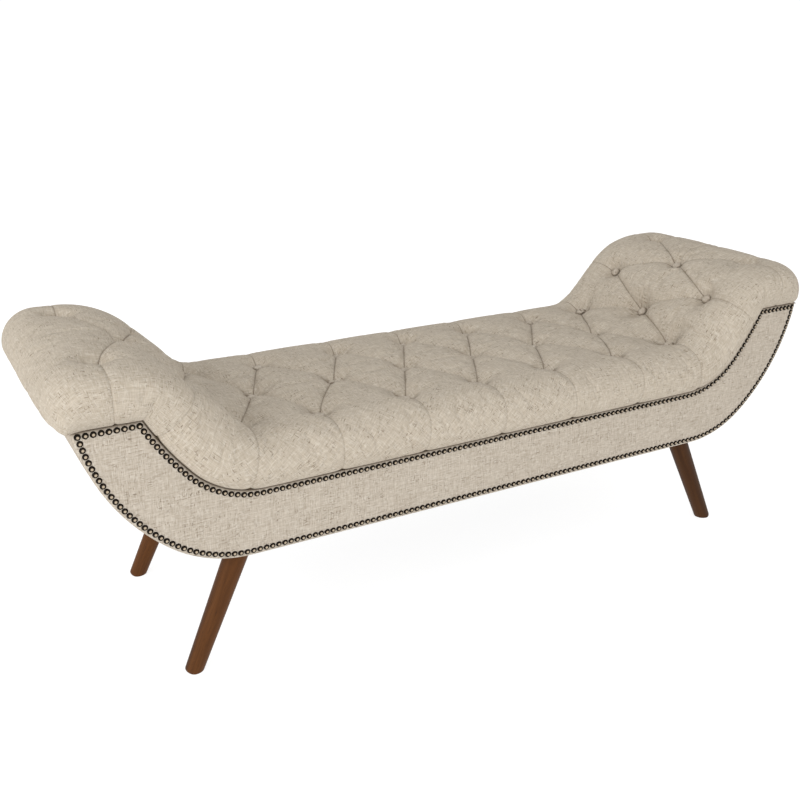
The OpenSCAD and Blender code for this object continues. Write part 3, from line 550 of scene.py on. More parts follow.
def heldShare(p):
    # 1 where folds, buttons, the seam or the end of a roll hold the cloth, less close by
    c = cover
    nearest = np.min([p.first, p.second, p.middle], axis=0)
    held = [c["holdEnd"][0] * p.rollU - c["holdEnd"][1]]
    for key, distance in (("holdFold", nearest), ("holdButton", p.near), ("holdSeam", p.toSeam)):
        start, length = c[key]
        held.append(start - distance / length)
    return np.clip(np.max(held, axis=0), 0, 1)


def coverPoints(columns, rowFields, edgeLength, crisp):
    # points on the cloth's outside, the shade in its creases, and how firmly each point is held
    c = cover
    p = clothPlace(columns, rowFields, edgeLength)
    line = creaseLine(p)
    lost = sunkBy(p)
    if crisp:
        lost = lost + c["creaseDepth"] * line
    lift = c["crown"] * (1 - (p.y / bench["faceY"]) ** 2) * p.h * (1 - p.rollU) - lost * p.nu
    kx, kz, slope = onWay(crestWay, p.s)
    ex, ez, _ = onWay(seamWay, np.interp(p.au, *seamTable))
    out = smoothStep(rise(p.au, *c["outSpan"]))
    x = ex + (kx - ex) * p.h - lift * np.sin(slope) + p.standOut * out * np.clip(p.h * c["outSteep"], 0, 1)
    z = ez + (kz - ez) * p.h + lift * np.cos(slope)
    # the lower corners of the rolls are drawn in
    under = p.tuck * rise(p.au, *c["tuckSpan"]) ** 2 * rise(np.abs(p.y), *c["tuckSide"]) ** 2
    under = under * fall(p.au, c["endStation"], c["tuckEnd"]) * np.clip(p.h * c["tuckSteep"], 0, 1)
    x = x - c["tuckIn"] * under
    width = np.where(p.h > 0, 1 - c["endTaper"] * p.rollU ** 2, 1) * (1 - c["tuckNarrow"] * under)
    # each fold lifts the seam into a small notch
    low = 1 - rise(p.toSeam, 0, c["notchReach"])
    z = z + c["notchHeight"] * hill(p.first, 0, c["notchWidth"]) * low * p.fade
    points = np.stack([p.sign * x, p.y * width - lost * p.ny, z], -1)
    return points, creaseShade(p, line), heldShare(p)


def innerPoints(columns):
    # where the wadding lies on the foam
    c = cover
    au, sign = np.abs(columns), np.where(columns < 0, -1.0, 1.0)
    s = crestLength(au)
    d = c["padThickness"]
    x, z, _ = onWay(crestWay, s, d)
    tuckStart, tuckEnd = crestTable[1][-2:]
    low = bench["topEdgeZ"] + c["seamLift"]
    share = fall(s, tuckEnd, tuckEnd - tuckStart)
    tucked = s >= tuckStart
    x = np.where(tucked, bench["outerX"] - d, x)
    z = np.where(tucked, low + (bench["topEdgeZ"] + c["underRoll"] - low) * share, z)
    return np.stack([np.stack([sign * x, np.full_like(x, q), z], -1) for q in (c["innerY"], -c["innerY"])], 1)


def closeCover(points, columns):
    # adds the two inner points of every column and gives the faces of the closed pad
    ring = np.concatenate([points, innerPoints(columns)], 1)
    return ring, tubeFaces(len(columns), ring.shape[1])


def finer(field, steps):
    # puts steps - 1 values between each two along the first axis, on a smooth curve through them
    p = np.concatenate([2 * field[:1] - field[1:2], field, 2 * field[-1:] - field[-2:-1]])
    out = np.zeros((steps * (len(field) - 1) + 1, *field.shape[1:]))
    for k in range(steps):
        t = k / steps
        weights = ((-t + 2 * t * t - t ** 3) / 2, (2 - 5 * t * t + 3 * t ** 3) / 2,
                   (t + 4 * t * t - 3 * t ** 3) / 2, (t ** 3 - t * t) / 2)
        out[k:-1:steps] = sum(w * p[i:len(p) - 3 + i] for i, w in enumerate(weights))
    out[-1] = field[-1]
    return out


clothSettings = {
    "quality": 5, "mass": 0.2, "tension_stiffness": 20, "compression_stiffness": 6, "shear_stiffness": 4,
    "bending_stiffness": 0.15, "use_pressure": True, "uniform_pressure_force": 3.0,
    "vertex_group_mass": "pins",
    "shrink_min": -0.012,  # a little more cloth than the pad, so it gathers at the buttons
}


def puffed(columns, rowFields, edgeLength):
    # blows the cloth up between its held folds, buttons and seams, on every third line of the grid
    c = cover
    n = c["simStep"]
    start, _, held = coverPoints(columns[::n], [f[::n] for f in rowFields], edgeLength, crisp=False)
    ring, faces = closeCover(start, columns[::n])
    cloth = meshPiece("simCloth", ring.reshape(-1, 3), faces, padLinen)
    outwards(cloth)
    pins = np.round(np.concatenate([held, np.ones((len(held), 2))], 1).ravel(), 1)
    group = cloth.vertex_groups.new(name="pins")
    for level in np.unique(pins):
        if level > 0:
            group.add(np.nonzero(pins == level)[0].tolist(), float(level), "REPLACE")
    m = cloth.modifiers.new("Cloth", "CLOTH")
    for key, value in clothSettings.items():
        setattr(m.settings, key, value)
    m.settings.effector_weights.gravity = 0
    m.point_cache.frame_start, m.point_cache.frame_end = 1, c["frames"]
    for f in range(1, c["frames"] + 1):
        scene.frame_set(f)
    shown = cloth.evaluated_get(bpy.context.evaluated_depsgraph_get())
    after = np.zeros(len(shown.data.vertices) * 3)
    shown.data.vertices.foreach_get("co", after)
    after = after.reshape(ring.shape)[:, :-2]
    bpy.data.objects.remove(cloth)
    scene.frame_set(1)
    move = after - start
    far = np.linalg.norm(move, axis=-1, keepdims=True)
    print("stage: cloth moved up to", round(float(far.max()), 4), "mean", round(float(far.mean()), 4))
    move *= np.minimum(1, c["furthestMove"] / np.maximum(far, 1e-9))
    # the back edge and the rolls are stretched tighter
    for key, place in (("backTight", start[..., 1:2]), ("rollTight", np.abs(columns[::n])[:, None, None])):
        share, begin, length = c[key]
        move *= 1 - share * rise(place, begin, length)
    return finer(finer(move, n).transpose(1, 0, 2), n).transpose(1, 0, 2)


def creasedFaces(points, faces):
    # splits each quad along its lower diagonal, so that folds run along edges
    quads = np.array([f for f in faces if len(f) == 4])
    rest = [f for f in faces if len(f) != 4]
    z = points.reshape(-1, 3)[:, 2]
    first = (z[quads[:, 0]] + z[quads[:, 2]] <= z[quads[:, 1]] + z[quads[:, 3]])[:, None]
    a, b, c, d = quads.T
    one = np.where(first, np.stack([a, b, c], 1), np.stack([a, b, d], 1))
    two = np.where(first, np.stack([a, c, d], 1), np.stack([b, c, d], 1))
    return [tuple(f) for f in np.concatenate([one, two])] + rest


def makeCover():
    columns, rowFields, edgeLength = coverGrid()
    points, fold, _ = coverPoints(columns, rowFields, edgeLength, crisp=True)
    points = points + puffed(columns, rowFields, edgeLength)
    ring, faces = closeCover(points, columns)
    faces = creasedFaces(ring, faces)
    rows = ring.shape[1]
    s = crestLength(np.abs(columns)) * np.sign(columns)
    r, y = rowFields[1:3]
    across = np.where(r > 0, np.sign(y) * (cover["rowGap"] + r), y)
    across = np.concatenate([across, [cover["innerReach"], -cover["innerReach"]]])
    flat = np.stack([s[:, None] * np.ones(rows), np.ones(len(s))[:, None] * across], -1).reshape(-1, 2)
    spin = np.array([[1, 1], [-1, 1]]) / math.sqrt(2)

    def weave(loopVerts, mesh):
        values = flat[loopVerts]
        totals = np.zeros(len(mesh.polygons), np.int32)
        mesh.polygons.foreach_get("loop_total", totals)
        face = np.repeat(np.arange(len(totals)), totals)
        reach = np.bincount(face, np.abs(values[:, 1])) / totals
        column = np.bincount(face, values[:, 0]) / totals
        begin, end = cover["biasSpan"]
        biased = ((reach > cover["biasFrom"]) & (column > begin) & (column < end))[face]
        return np.where(biased[:, None], values @ spin.T + cover["biasShift"], values)

    # painted shade of the creases, buttons and seam; none on the two inner points
    folds = np.concatenate([fold, np.zeros((len(fold), 2))], 1).ravel()
    piece = meshPiece("tuftedCover", ring.reshape(-1, 3), faces, padLinen, weave, {"fold": folds})
    outwards(piece)
    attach(piece, "root")
    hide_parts("tufted_cover")
    return piece


coverPiece = makeCover()
print("stage: tufted cover,", len(coverPiece.data.polygons), "faces")


# covered buttons

button = {
    "across": 0.018, "height": 0.0068, "around": 28, "sunk": 0.0012, "tilt": 0.07, "seed": 11,
    # profile from the pointed back over the rim to the middle of the crown, in radii and heights
    "radii": (0.12, 0.62, 0.92, 1.0, 0.97, 0.86, 0.66, 0.40, 0.14),
    "heights": (-0.35, -0.22, 0.02, 0.28, 0.52, 0.72, 0.87, 0.96, 1.0), "crownHeight": 1.005,
    "gathers": 11, "gatherDepth": 0.018, "gatherAt": (0.3, 0.2), "clothRadius": 0.011, "clothSpread": 0.4,
}


def buttonPlaces():
    last = cover["lastTuft"]
    places = [(k, row) for k in range(-last, last + 1) for row in (-1, 1)]
    places += [(k + 0.5, 0) for k in range(-last, last)]
    return places


def buttonFrame(u, row):
    # the middle of a button's rim and its axes
    s = float(crestLength(abs(u), float(row)))
    y = row * cover["rowGap"]
    depth = float(tuftDepth(abs(u), row)) - cover["crown"] * (1 - (y / bench["faceY"]) ** 2)
    x, z, a = (float(q) for q in onWay(crestWay, s, depth))
    sign = -1 if u < 0 else 1
    up = np.array([-sign * math.sin(a), 0, math.cos(a)])
    along = np.array([math.cos(a), 0, sign * math.sin(a)])
    return np.array([sign * x, y, z]), along, np.array([0, 1.0, 0]), up


def makeButtons():
    b = button
    n, rings = b["around"], len(b["radii"])
    t = np.linspace(0, 1, rings)
    angles = np.linspace(0, 2 * math.pi, n, endpoint=False)
    rng = np.random.default_rng(b["seed"])
    points, faces, flat = [], [], []
    radius = b["across"] / 2 * np.array(b["radii"])
    height = b["height"] * np.array(b["heights"])
    for u, row in buttonPlaces():
        centre, along, across, up = buttonFrame(u, row)
        turn, tilt = rng.uniform(0, 2 * math.pi), rng.uniform(-b["tilt"], b["tilt"], 2)
        first = sum(len(p) for p in points)
        axis = up + tilt[0] * along + tilt[1] * across
        axis /= np.linalg.norm(axis)
        gather = 1 + (b["gatherDepth"] * np.sin(b["gathers"] * angles + turn)[None]
                      * hill(t[:, None], *b["gatherAt"]))
        spokes = np.cos(angles)[None, :, None] * along + np.sin(angles)[None, :, None] * across
        ring = (centre + (b["sunk"] + height)[:, None, None] * axis
                + (radius[:, None] * gather)[..., None] * spokes)
        points.append(ring.reshape(-1, 3))
        points.append((centre + (b["sunk"] + b["height"] * b["crownHeight"]) * axis)[None])
        flatRing = np.stack([np.cos(angles + turn), np.sin(angles + turn)], -1)[None]
        flatRing = flatRing * (t[::-1][:, None, None] * b["clothRadius"])
        flat.append(flatRing.reshape(-1, 2) + rng.uniform(0, 1, 2) * b["clothSpread"])
        flat.append(flat[-1].mean(0)[None])
        faces += gridFaces(rings, n, first)
        top = first + (rings - 1) * n
        faces += [(top + k, top + (k + 1) % n, top + n) for k in range(n)]
        faces.append(tuple(first + k for k in range(n - 1, -1, -1)))
    piece = meshPiece("coveredButtons", np.vstack(points), faces, sideLinen, uv=np.vstack(flat))
    outwards(piece)
    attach(piece, "root")
    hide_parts("tuft_buttons")


makeButtons()
print("stage: buttons")


# cloth on the long sides

sideCloth = {
    "columns": 420, "rows": 44, "edgeRound": 0.0018, "swell": 0.0012, "swellSpan": (0.010, 0.03),
    "nailInset": 0.008, "nailPull": 0.0009, "nailPullWidth": 0.004,
    # lines between the curves lean so that they stay square to the cloth's lower edge
    "leanShares": (0, 0.62, 0.80, 1.0), "leanLengths": (0, 0.50, 0.66),
    # (width, strength) of the painted shade along the pad's seam and of the painted dark line in it
    "seamShades": ((0.0055, 0.46), (0.0013, 0.55)), "lipShift": 0.02, "backShift": 5,
}


def makeSide(name, node, back):
    g = sideCloth
    # one ring of points per column: the outer corner of the arm's top edge ends both curves
    half = g["columns"] // 2
    share = np.linspace(0, 1, half)
    justBefore = 0.99999
    ux, uz, _ = onWay(seamWay, np.linspace(0, seamWay[0][-1] - bench["armTopWidth"], half) * justBefore)
    lx, lz, la = onWay(underWay, np.interp(share, g["leanShares"], (*g["leanLengths"], underWay[0][-1])))
    lz[-1] = uz[-1] = bench["topEdgeZ"]
    wx, wz = lx - bench["wrap"] * np.sin(la), lz + bench["wrap"] * np.cos(la)
    t = np.linspace(0, 1, g["rows"])
    long = np.hypot(lx - ux, lz - uz)[:, None]
    fromTop, fromLow = t[None] * long, (1 - t[None]) * long
    x = ux[:, None] + (lx - ux)[:, None] * t[None]
    z = uz[:, None] + (lz - uz)[:, None] * t[None]
    fromEnd = bench["topEdgeZ"] - z
    edges = (fromTop, fromLow, fromEnd)
    r = g["edgeRound"]
    rounded = sum(r - np.sqrt(np.maximum(r ** 2 - np.clip(r - d, 0, r) ** 2, 0)) for d in edges)
    pull = g["nailPull"] * sum(hill(d, g["nailInset"], g["nailPullWidth"]) for d in edges)
    belly = g["swell"] * np.prod([rise(d, *g["swellSpan"]) for d in edges], axis=0)
    y = bench["faceY"] - rounded - pull + belly
    lipY = bench["boardY"] - bench["lip"]
    rim = [(lx, lz, lipY), (wx, wz, lipY), (wx, wz, bench["boardY"]), (ux, uz, bench["boardY"])]
    x = np.column_stack([x] + [q[0] for q in rim])
    z = np.column_stack([z] + [q[1] for q in rim])
    y = np.column_stack([y] + [np.full(half, q[2]) for q in rim])
    # mirror to the left, leaving out the doubled middle column
    x = np.concatenate([-x[:0:-1], x])
    y, z = np.concatenate([y[:0:-1], y]), np.concatenate([z[:0:-1], z])
    points = np.stack([x, y if back else -y, z], -1)
    rows = points.shape[1]
    lean = np.where(np.arange(rows) >= g["rows"], g["lipShift"], 0.0)
    flat = np.stack([x + (g["backShift"] if back else 0), z - lean], -1).reshape(-1, 2)
    # painted shade: a soft band and a dark line just under the pad's overhang
    toPad = np.minimum(fromTop, np.maximum(fromEnd, 0))
    paintedSeamShade = sum(hill(toPad, 0, width) * strength for width, strength in g["seamShades"])
    paintedSeamShade = np.concatenate([paintedSeamShade, np.zeros((half, len(rim)))], 1)
    paintedSeamShade = np.concatenate([paintedSeamShade[:0:-1], paintedSeamShade]).ravel()
    faces = tubeFaces(len(points), rows)
    piece = meshPiece(name, points.reshape(-1, 3), faces, sideLinen, flat, {"fold": paintedSeamShade})
    outwards(piece)
    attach(piece, "root")
    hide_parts(node)


makeSide("frontSideCloth", "front_panel_cover", False)
makeSide("backSideCloth", "back_panel_cover", True)
print("stage: long sides")


# cloth round the outside of the arms

endCloth = {"columns": 70, "across": 60, "slack": 0.0008, "slackPower": 8, "shifts": (2, 7)}


def makeEnd(name, node, left):
    # a closed thin sheet that follows the underside's curve from the lining's end to the arm's top
    g = endCloth
    half = bench["boardY"] - bench["lip"]
    start = float(np.interp(bench["dustEndX"], underWay[1], underWay[0]))
    s = np.linspace(start, underWay[0][-1], g["columns"])
    v = np.linspace(-1, 1, g["across"])
    x, z, a = (np.interp(s, underWay[0], underWay[i])[:, None] for i in (1, 2, 3))
    ones = np.ones((len(s), 1))
    sheets = []
    for inset, slack in ((0.0, g["slack"]), (bench["wrap"], 0.0)):
        d = inset - slack * (1 - v[None] ** g["slackPower"]) * ones
        sheets.append(np.stack([x - d * np.sin(a), v[None] * half * ones, z + d * np.cos(a)], -1))
    ring = np.concatenate([sheets[0], sheets[1][:, ::-1]], 1)
    if left:
        ring = ring * np.array([-1, 1, 1])
    rows = ring.shape[1]
    last = (len(s) - 1) * rows
    pairs = range(rows // 2 - 1)
    faces = gridFaces(len(s), rows)
    faces += [(i, i + 1, rows - 2 - i, rows - 1 - i) for i in pairs]
    faces += [(last + rows - 1 - i, last + rows - 2 - i, last + i + 1, last + i) for i in pairs]
    width = np.concatenate([v, v[::-1]]) * half
    flat = np.stack([ones * width[None], s[:, None] * np.ones(rows)], -1).reshape(-1, 2)
    piece = meshPiece(name, ring.reshape(-1, 3), faces, sideLinen, uv=flat + g["shifts"][0 if left else 1])
    outwards(piece)
    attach(piece, "root")
    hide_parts(node)


makeEnd("rightEndCloth", "right_end_cover", False)
makeEnd("leftEndCloth", "left_end_cover", True)
print("stage: end covers")


# nail heads

nail = {
    "pitch": 0.0108, "inset": 0.008, "across": 0.0104, "height": 0.0030, "tilt": 0.05, "halfTurn": 3.14,
    "segments": 12, "rings": 8, "belowRim": -0.01, "seed": 5,
}


def nailPlaces():
    # the places of part.scad's nail rows on the front side, in X and Z
    d, topZ, places, tops = nail["inset"], bench["topEdgeZ"] - nail["inset"], [], []
    rows = ((bench["seatFlat"], bench["seamZ"], bench["seamBend"], bench["seamArm"][0], -d),
            (bench["underFlat"], bench["underZ"], bench["underBend"], bench["underArm"][0], d))
    for flat, low, (bendR, turn), armR, up in rows:
        turn = math.radians(turn)
        bendTop = (flat + bendR * math.sin(turn), low + bendR * (1 - math.cos(turn)))
        centre = (bendTop[0] - armR * math.sin(turn), bendTop[1] + armR * math.cos(turn))
        bendR, armR, low = bendR - up, armR - up, low + up
        last = math.acos((centre[1] - topZ) / armR)
        half = flat + bendR * turn + armR * (last - turn)
        count = int(2 * half / nail["pitch"])
        for i in range(count + 1):
            s = (2 * i / count - 1) * half
            sign, s = (-1 if s < 0 else 1), abs(s)
            if s <= flat:
                x, z = s, low
            elif s <= flat + bendR * turn:
                a = (s - flat) / bendR
                x, z = flat + bendR * math.sin(a), low + bendR * (1 - math.cos(a))
            else:
                a = turn + (s - flat - bendR * turn) / armR
                x, z = centre[0] + armR * math.sin(a), centre[1] - armR * math.cos(a)
            places.append((sign * x, z))
        tops.append(places[-1])
    count = int(math.dist(*tops) / nail["pitch"])
    for i in range(1, count):
        x = tops[0][0] + (tops[1][0] - tops[0][0]) * i / count
        places += [(x, topZ), (-x, topZ)]
    return places


def bronzeMaterial():
    # dark antique bronze, with a painted highlight on each crown where the front light's reflection sits; its
    # edge is a little uneven
    m, tree, shader = freshMaterial("antiqueBronze", Metallic=0.1, Specular_IOR_Level=0.10)
    spots = noise(tree, wire(tree, "ShaderNodeTexCoord", out=3), 420.0)
    unevenEdge = times(tree, maths(tree, "SUBTRACT", spots, 0.5), 0.07)
    crownHighlight = plus(tree, attribute(tree, "crown"), unevenEdge)
    # painted highlight: tan on the crown, near black below
    colour = ramp(tree, crownHighlight, [(0.0, (0.004, 0.003, 0.002)), (0.870, (0.010, 0.007, 0.004)),
                                 (0.905, (0.180, 0.136, 0.092)), (0.935, (0.440, 0.358, 0.262))])
    rough = spread(tree, crownHighlight, 0.3, 1.0, 0.75, 0.50)
    finishMaterial(tree, shader, colour, rough, spots, 0.15, 0.0003)
    return m


def nailTree(material):
    # a small domed head on every point, turned and tilted a little at random
    tree = bpy.data.node_groups.new("nailHeads", "GeometryNodeTree")
    sockets = [("Geometry", "Geometry"), ("Across", "Float"), ("Height", "Float"), ("Tilt", "Float"),
               ("Facing", "Float"), ("Seed", "Int")]
    for name, kind in sockets:
        tree.interface.new_socket(name=name, in_out="INPUT", socket_type="NodeSocket" + kind)
    tree.interface.new_socket(name="Geometry", in_out="OUTPUT", socket_type="NodeSocketGeometry")
    given = tree.nodes.new("NodeGroupInput").outputs
    ball = wire(tree, "GeometryNodeMeshUVSphere", {"Segments": nail["segments"], "Rings": nail["rings"],
                                                   "Radius": 1.0})
    upward = split(tree, wire(tree, "GeometryNodeInputPosition"))[2]
    under = wire(tree, "FunctionNodeCompare", {0: upward, 1: nail["belowRim"]}, data_type="FLOAT",
                 operation="LESS_THAN")
    dome = wire(tree, "GeometryNodeDeleteGeometry", {"Geometry": ball, "Selection": under})
    named = wire(tree, "GeometryNodeStoreNamedAttribute",
                 {"Geometry": dome, "Name": "crown", "Value": upward}, data_type="FLOAT", domain="POINT")
    wide = times(tree, given["Across"], 0.5)
    size = wire(tree, "ShaderNodeCombineXYZ", [wide, wide, given["Height"]])
    head = wire(tree, "GeometryNodeTransform", {"Geometry": named, "Scale": size})
    smooth = wire(tree, "GeometryNodeSetShadeSmooth", {"Geometry": head})
    low = times(tree, given["Tilt"], -1.0)
    lowest = wire(tree, "ShaderNodeCombineXYZ", [low, low, -nail["halfTurn"]])
    highest = wire(tree, "ShaderNodeCombineXYZ", [given["Tilt"], given["Tilt"], nail["halfTurn"]])
    shake = wire(tree, "FunctionNodeRandomValue", {0: lowest, 1: highest, "Seed": given["Seed"]},
                 data_type="FLOAT_VECTOR")
    facing = wire(tree, "ShaderNodeCombineXYZ", [given["Facing"], 0.0, 0.0])
    placed = wire(tree, "GeometryNodeInstanceOnPoints", {"Points": given["Geometry"], "Instance": smooth,
                                                        "Rotation": facing})
    turned = wire(tree, "GeometryNodeRotateInstances", {"Instances": placed, "Rotation": shake})
    real = wire(tree, "GeometryNodeRealizeInstances", {"Geometry": turned})
    done = wire(tree, "GeometryNodeSetMaterial", {"Geometry": real, "Material": material})
    result = tree.nodes.new("NodeGroupOutput")
    tree.links.new(done, result.inputs[0])
    return tree


def socketId(tree, name):
    return next(i.identifier for i in tree.interface.items_tree if i.name == name and i.in_out == "INPUT")


def makeNails(name, node, tree, back):
    y = bench["faceY"] - sideCloth["nailPull"]
    places = [(x, y if back else -y, z) for x, z in nailPlaces()]
    seedMesh = bpy.data.meshes.new(name + "Points")
    seedMesh.from_pydata(places, [], [])
    holder = bpy.data.objects.new(name + "Points", seedMesh)
    scene.collection.objects.link(holder)
    m = holder.modifiers.new("nails", "NODES")
    m.node_group = tree
    for key, value in (("Across", nail["across"]), ("Height", nail["height"]), ("Tilt", nail["tilt"]),
                       ("Facing", -math.pi / 2 if back else math.pi / 2), ("Seed", nail["seed"] + back)):
        m[socketId(tree, key)] = value
    shown = holder.evaluated_get(bpy.context.evaluated_depsgraph_get())
    mesh = bpy.data.meshes.new_from_object(shown)
    bpy.data.objects.remove(holder)
    piece = bpy.data.objects.new(name, mesh)
    scene.collection.objects.link(piece)
    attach(piece, "root")
    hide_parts(node)


heads = nailTree(bronzeMaterial())
makeNails("frontNails", "front_nail_trim", heads, False)
makeNails("backNails", "back_nail_trim", heads, True)
print("stage: nails,", len(nailPlaces()), "a side")


# wood, steel, foam, twine and lining

def dressNode(node, material):
    cadNodes[node].data.materials.clear()
    cadNodes[node].data.materials.append(material)


walnut = {
    "dark": (0.062, 0.022, 0.006), "base": (0.115, 0.042, 0.011), "light": (0.165, 0.067, 0.020),
    "pore": (0.030, 0.012, 0.006), "splayY": 2.5, "splayX": 25,
    # for each leg: which end, which side, and its painted shade, a share its colour is multiplied by
    "legs": (("front_left_leg", -1, -1, 0.86), ("front_right_leg", 1, -1, 0.46),
             ("back_left_leg", -1, 1, 0.90), ("back_right_leg", 1, 1, 0.80)),
}


def walnutMaterial(name, turn, legShade):
    m, tree, shader = freshMaterial(name, Coat_Weight=0.02, Coat_Roughness=0.30, Specular_IOR_Level=0.10)
    along = objectPlace(tree, turn)
    drift = noise(tree, stretched(tree, along, (60, 60, 3.2)), 1.0, 4.0, 0.6)
    fine = noise(tree, stretched(tree, along, (620, 620, 14)), 1.0)
    pores = spread(tree, noise(tree, stretched(tree, along, (900, 900, 60)), 1.0), 0.62, 0.72, 0.0, 1.0)
    tone = plus(tree, times(tree, drift, 0.7), times(tree, fine, 0.3))
    colour = ramp(tree, tone, [(0.28, walnut["dark"]), (0.5, walnut["base"]), (0.72, walnut["light"])])
    colour = blend(tree, times(tree, pores, 0.45), colour, walnut["pore"])
    # painted shade: the leg's colour is darkened by its share
    colour = blend(tree, 1.0, colour, (legShade, legShade, legShade), "MULTIPLY")
    rough = spread(tree, fine, 0.3, 0.7, 0.42, 0.58)
    height = maths(tree, "SUBTRACT", times(tree, fine, 0.4), times(tree, pores, 0.6))
    finishMaterial(tree, shader, colour, rough, height, 0.25, 0.0004)
    return m


for name, end, side, legShade in walnut["legs"]:
    splay = (math.radians(-walnut["splayY"] * side), math.radians(walnut["splayX"] * end), 0)
    dressNode(name, walnutMaterial("walnut" + str(end) + str(side), splay, legShade))


def woodMaterial(name, light, dark, layered, axis):
    # the grain runs along the given axis
    m, tree, shader = freshMaterial(name, Specular_IOR_Level=0.25)
    place = objectPlace(tree)
    scale = [70, 70, 70]
    scale[axis] = 2.6
    grain = noise(tree, stretched(tree, place, tuple(scale)), 1.0, 5.0, 0.8)
    colour = ramp(tree, grain, [(0.30, dark), (0.52, light), (0.75, tuple(min(1, c * 1.12) for c in light))])
    if layered:
        # plies show as thin dark lines on cut edges
        plyPitch = 0.003
        plies = maths(tree, "SINE", times(tree, split(tree, place)[1], 2 * math.pi / plyPitch))
        colour = blend(tree, spread(tree, plies, 0.2, 1.0, 0.0, 0.25), colour, dark)
    rough = spread(tree, grain, 0.3, 0.7, 0.65, 0.85)
    finishMaterial(tree, shader, colour, rough, grain, 0.2, 0.0006)
    return m


def spottedMaterial(name, scale, detail, low, high, roughs, bump, **onShader):
    # one soft noise gives colour, roughness and height: bump is (strength, distance)
    m, tree, shader = freshMaterial(name, **onShader)
    spots = noise(tree, objectPlace(tree), scale, detail)
    colour = ramp(tree, spots, [(0.3, low), (0.7, high)])
    finishMaterial(tree, shader, colour, spread(tree, spots, 0.3, 0.7, *roughs), spots, *bump)
    return m


ply = woodMaterial("plywood", (0.62, 0.44, 0.24), (0.40, 0.25, 0.12), True, 0)
pine = woodMaterial("softwood", (0.68, 0.50, 0.28), (0.46, 0.29, 0.13), False, 1)
steel = spottedMaterial("zincSteel", 260.0, 3.0, (0.36, 0.37, 0.39), (0.56, 0.57, 0.58), (0.28, 0.45),
                        (0.1, 0.0002), Metallic=1.0)
for material, slotName, names in (
        (ply, "plywood", ("front_side_board", "back_side_board", "seat_deck", "left_arm_deck",
                          "right_arm_deck", "left_arm_cap", "right_arm_cap")),
        (pine, "softwood", ("left_arm_rail", "right_arm_rail", "left_seat_rail", "right_seat_rail",
                            "left_corner_rail", "right_corner_rail", "left_leg_rail", "right_leg_rail")),
        (steel, "steel", ("frame_screws", "hanger_bolts", "tee_nuts"))):
    for name in names:
        dressNode(name, material)


def foamMaterial():
    m, tree, shader = freshMaterial("foam", Specular_IOR_Level=0.1)
    place = objectPlace(tree)
    cells = wire(tree, "ShaderNodeTexVoronoi", {"Vector": place, "Scale": 700.0}, feature="DISTANCE_TO_EDGE")
    tone = noise(tree, place, 14.0, 3.0)
    colour = ramp(tree, tone, [(0.3, (0.80, 0.70, 0.42)), (0.7, (0.90, 0.82, 0.56))])
    rough = spread(tree, tone, 0.3, 0.7, 0.9, 1.0)
    finishMaterial(tree, shader, colour, rough, cells, 0.4, 0.0006)
    return m


def twineMaterial():
    m, tree, shader = freshMaterial("waxedTwine", Specular_IOR_Level=0.3)
    x, y, z = split(tree, objectPlace(tree))
    slant = plus(tree, times(tree, z, 3200.0), times(tree, plus(tree, x, y), 2600.0))
    twist = maths(tree, "SINE", slant)
    colour = ramp(tree, twist, [(0.0, (0.62, 0.57, 0.46)), (0.6, (0.82, 0.78, 0.68))])
    rough = spread(tree, twist, -1.0, 1.0, 0.7, 0.5)
    finishMaterial(tree, shader, colour, rough, twist, 0.5, 0.0004)
    return m


def mergedCopy(name, node, material, smooth=False):
    # a copy of a CAD node's mesh with its loose triangles joined
    mesh = cadNodes[node].data.copy()
    mesh.name = name
    bm = bmesh.new()
    bm.from_mesh(mesh)
    bmesh.ops.remove_doubles(bm, verts=bm.verts, dist=1e-6)
    bmesh.ops.recalc_face_normals(bm, faces=bm.faces)
    bm.to_mesh(mesh)
    bm.free()
    mesh.materials.clear()
    mesh.materials.append(material)
    piece = bpy.data.objects.new(name, mesh)
    scene.collection.objects.link(piece)
    if smooth:
        mesh.polygons.foreach_set("use_smooth", [True] * len(mesh.polygons))
    return piece


foam = foamMaterial()
for node, name in (("seat_foam", "seatFoam"), ("left_arm_foam", "leftArmFoam"),
                   ("right_arm_foam", "rightArmFoam")):
    block = mergedCopy(name, node, foam)
    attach(block, "root")
    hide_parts(node)
ties = mergedCopy("buttonTwine", "button_ties", twineMaterial(), smooth=True)
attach(ties, "root")
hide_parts("button_ties")
lining = spottedMaterial("blackLining", 300.0, 4.0, (0.012, 0.012, 0.012), (0.045, 0.044, 0.042), (0.85, 1.0),
                         (0.4, 0.0004), Specular_IOR_Level=0.2)
dust = mergedCopy("dustLining", "dust_cover", lining)
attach(dust, "root")
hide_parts("dust_cover")
print("stage: hidden pieces")


# camera, floor and light

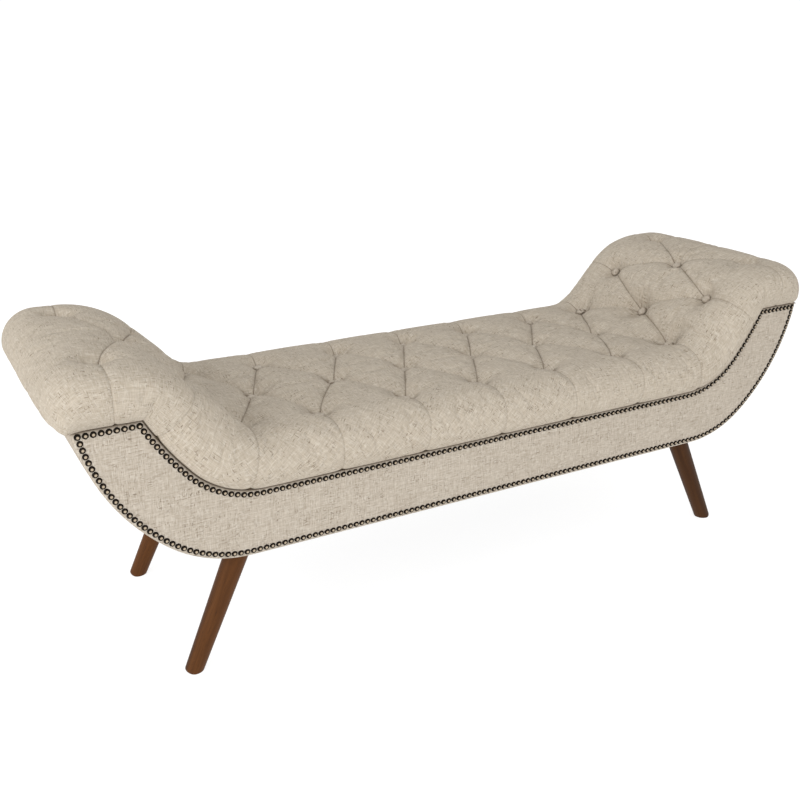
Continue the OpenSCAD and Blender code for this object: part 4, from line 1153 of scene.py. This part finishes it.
camera = {
    "place": (-0.9435, -1.5474, 0.9988), "forward": (0.4537, 0.8189, -0.3514),
    "lens": 43.785, "sensor": 36, "clip": (0.05, 60),
}
cam = bpy.data.objects.new("camera", bpy.data.cameras.new("camera"))
cam.data.sensor_width = camera["sensor"]
cam.data.lens = camera["lens"]
cam.data.clip_start, cam.data.clip_end = camera["clip"]
cam.location = camera["place"]
cam.rotation_mode = "QUATERNION"
cam.rotation_quaternion = Vector(camera["forward"]).to_track_quat("-Z", "Y")
scene.collection.objects.link(cam)
scene.camera = cam

studio = {
    "floorColour": (0.30, 0.30, 0.30), "floorGlow": 0.85, "floorReach": 30,
    "horizon": 0.64, "zenith": 0.745, "backdrop": 1.06, "skySpan": (0.3, 1.0), "backdropSpan": (0.05, 0.45),
    # name, place, aim, size, power in watts
    "lights": (("keyLight", (-0.9, -2.9, 1.9), (0, 0, 0.35), (2.0, 1.6), 25),
               ("leftLight", (-2.7, -0.9, 1.5), (0.3, 0, 0.45), (1.6, 1.4), 25)),
}
floorMaterial, floorTree, floorShader = freshMaterial("paleFloor", Roughness=0.9)
floorShader.inputs["Base Color"].default_value = (*studio["floorColour"], 1)
floorShader.inputs["Emission Color"].default_value = (1, 1, 1, 1)
floorShader.inputs["Emission Strength"].default_value = studio["floorGlow"]
far = studio["floorReach"]
floorCorners = [(-far, -far, 0), (far, -far, 0), (far, far, 0), (-far, far, 0)]
floor = meshPiece("floor", floorCorners, [(0, 1, 2, 3)], floorMaterial)

world = bpy.data.worlds.new("studio")
scene.world = world
world.use_nodes = True
sky = world.node_tree
upward = split(sky, wire(sky, "ShaderNodeTexCoord", out=0))[2]
glow = spread(sky, upward, *studio["skySpan"], studio["horizon"], studio["zenith"])
# a white backdrop stands behind the floor's far edge and fades upwards
strip = spread(sky, upward, *studio["backdropSpan"], studio["backdrop"], studio["horizon"])
glow = maths(sky, "MAXIMUM", glow, strip)
sky.links.new(glow, sky.nodes["Background"].inputs["Strength"])
sky.nodes["Background"].inputs["Color"].default_value = (1, 1, 1, 1)


def areaLight(name, place, aim, size, power):
    data = bpy.data.lights.new(name, "AREA")
    data.shape, data.size, data.size_y, data.energy = "RECTANGLE", size[0], size[1], power
    lamp = bpy.data.objects.new(name, data)
    lamp.location = place
    lamp.rotation_mode = "QUATERNION"
    lamp.rotation_quaternion = (Vector(aim) - Vector(place)).to_track_quat("-Z", "Y")
    scene.collection.objects.link(lamp)


for light in studio["lights"]:
    areaLight(*light)
print("stage: camera, floor and light")
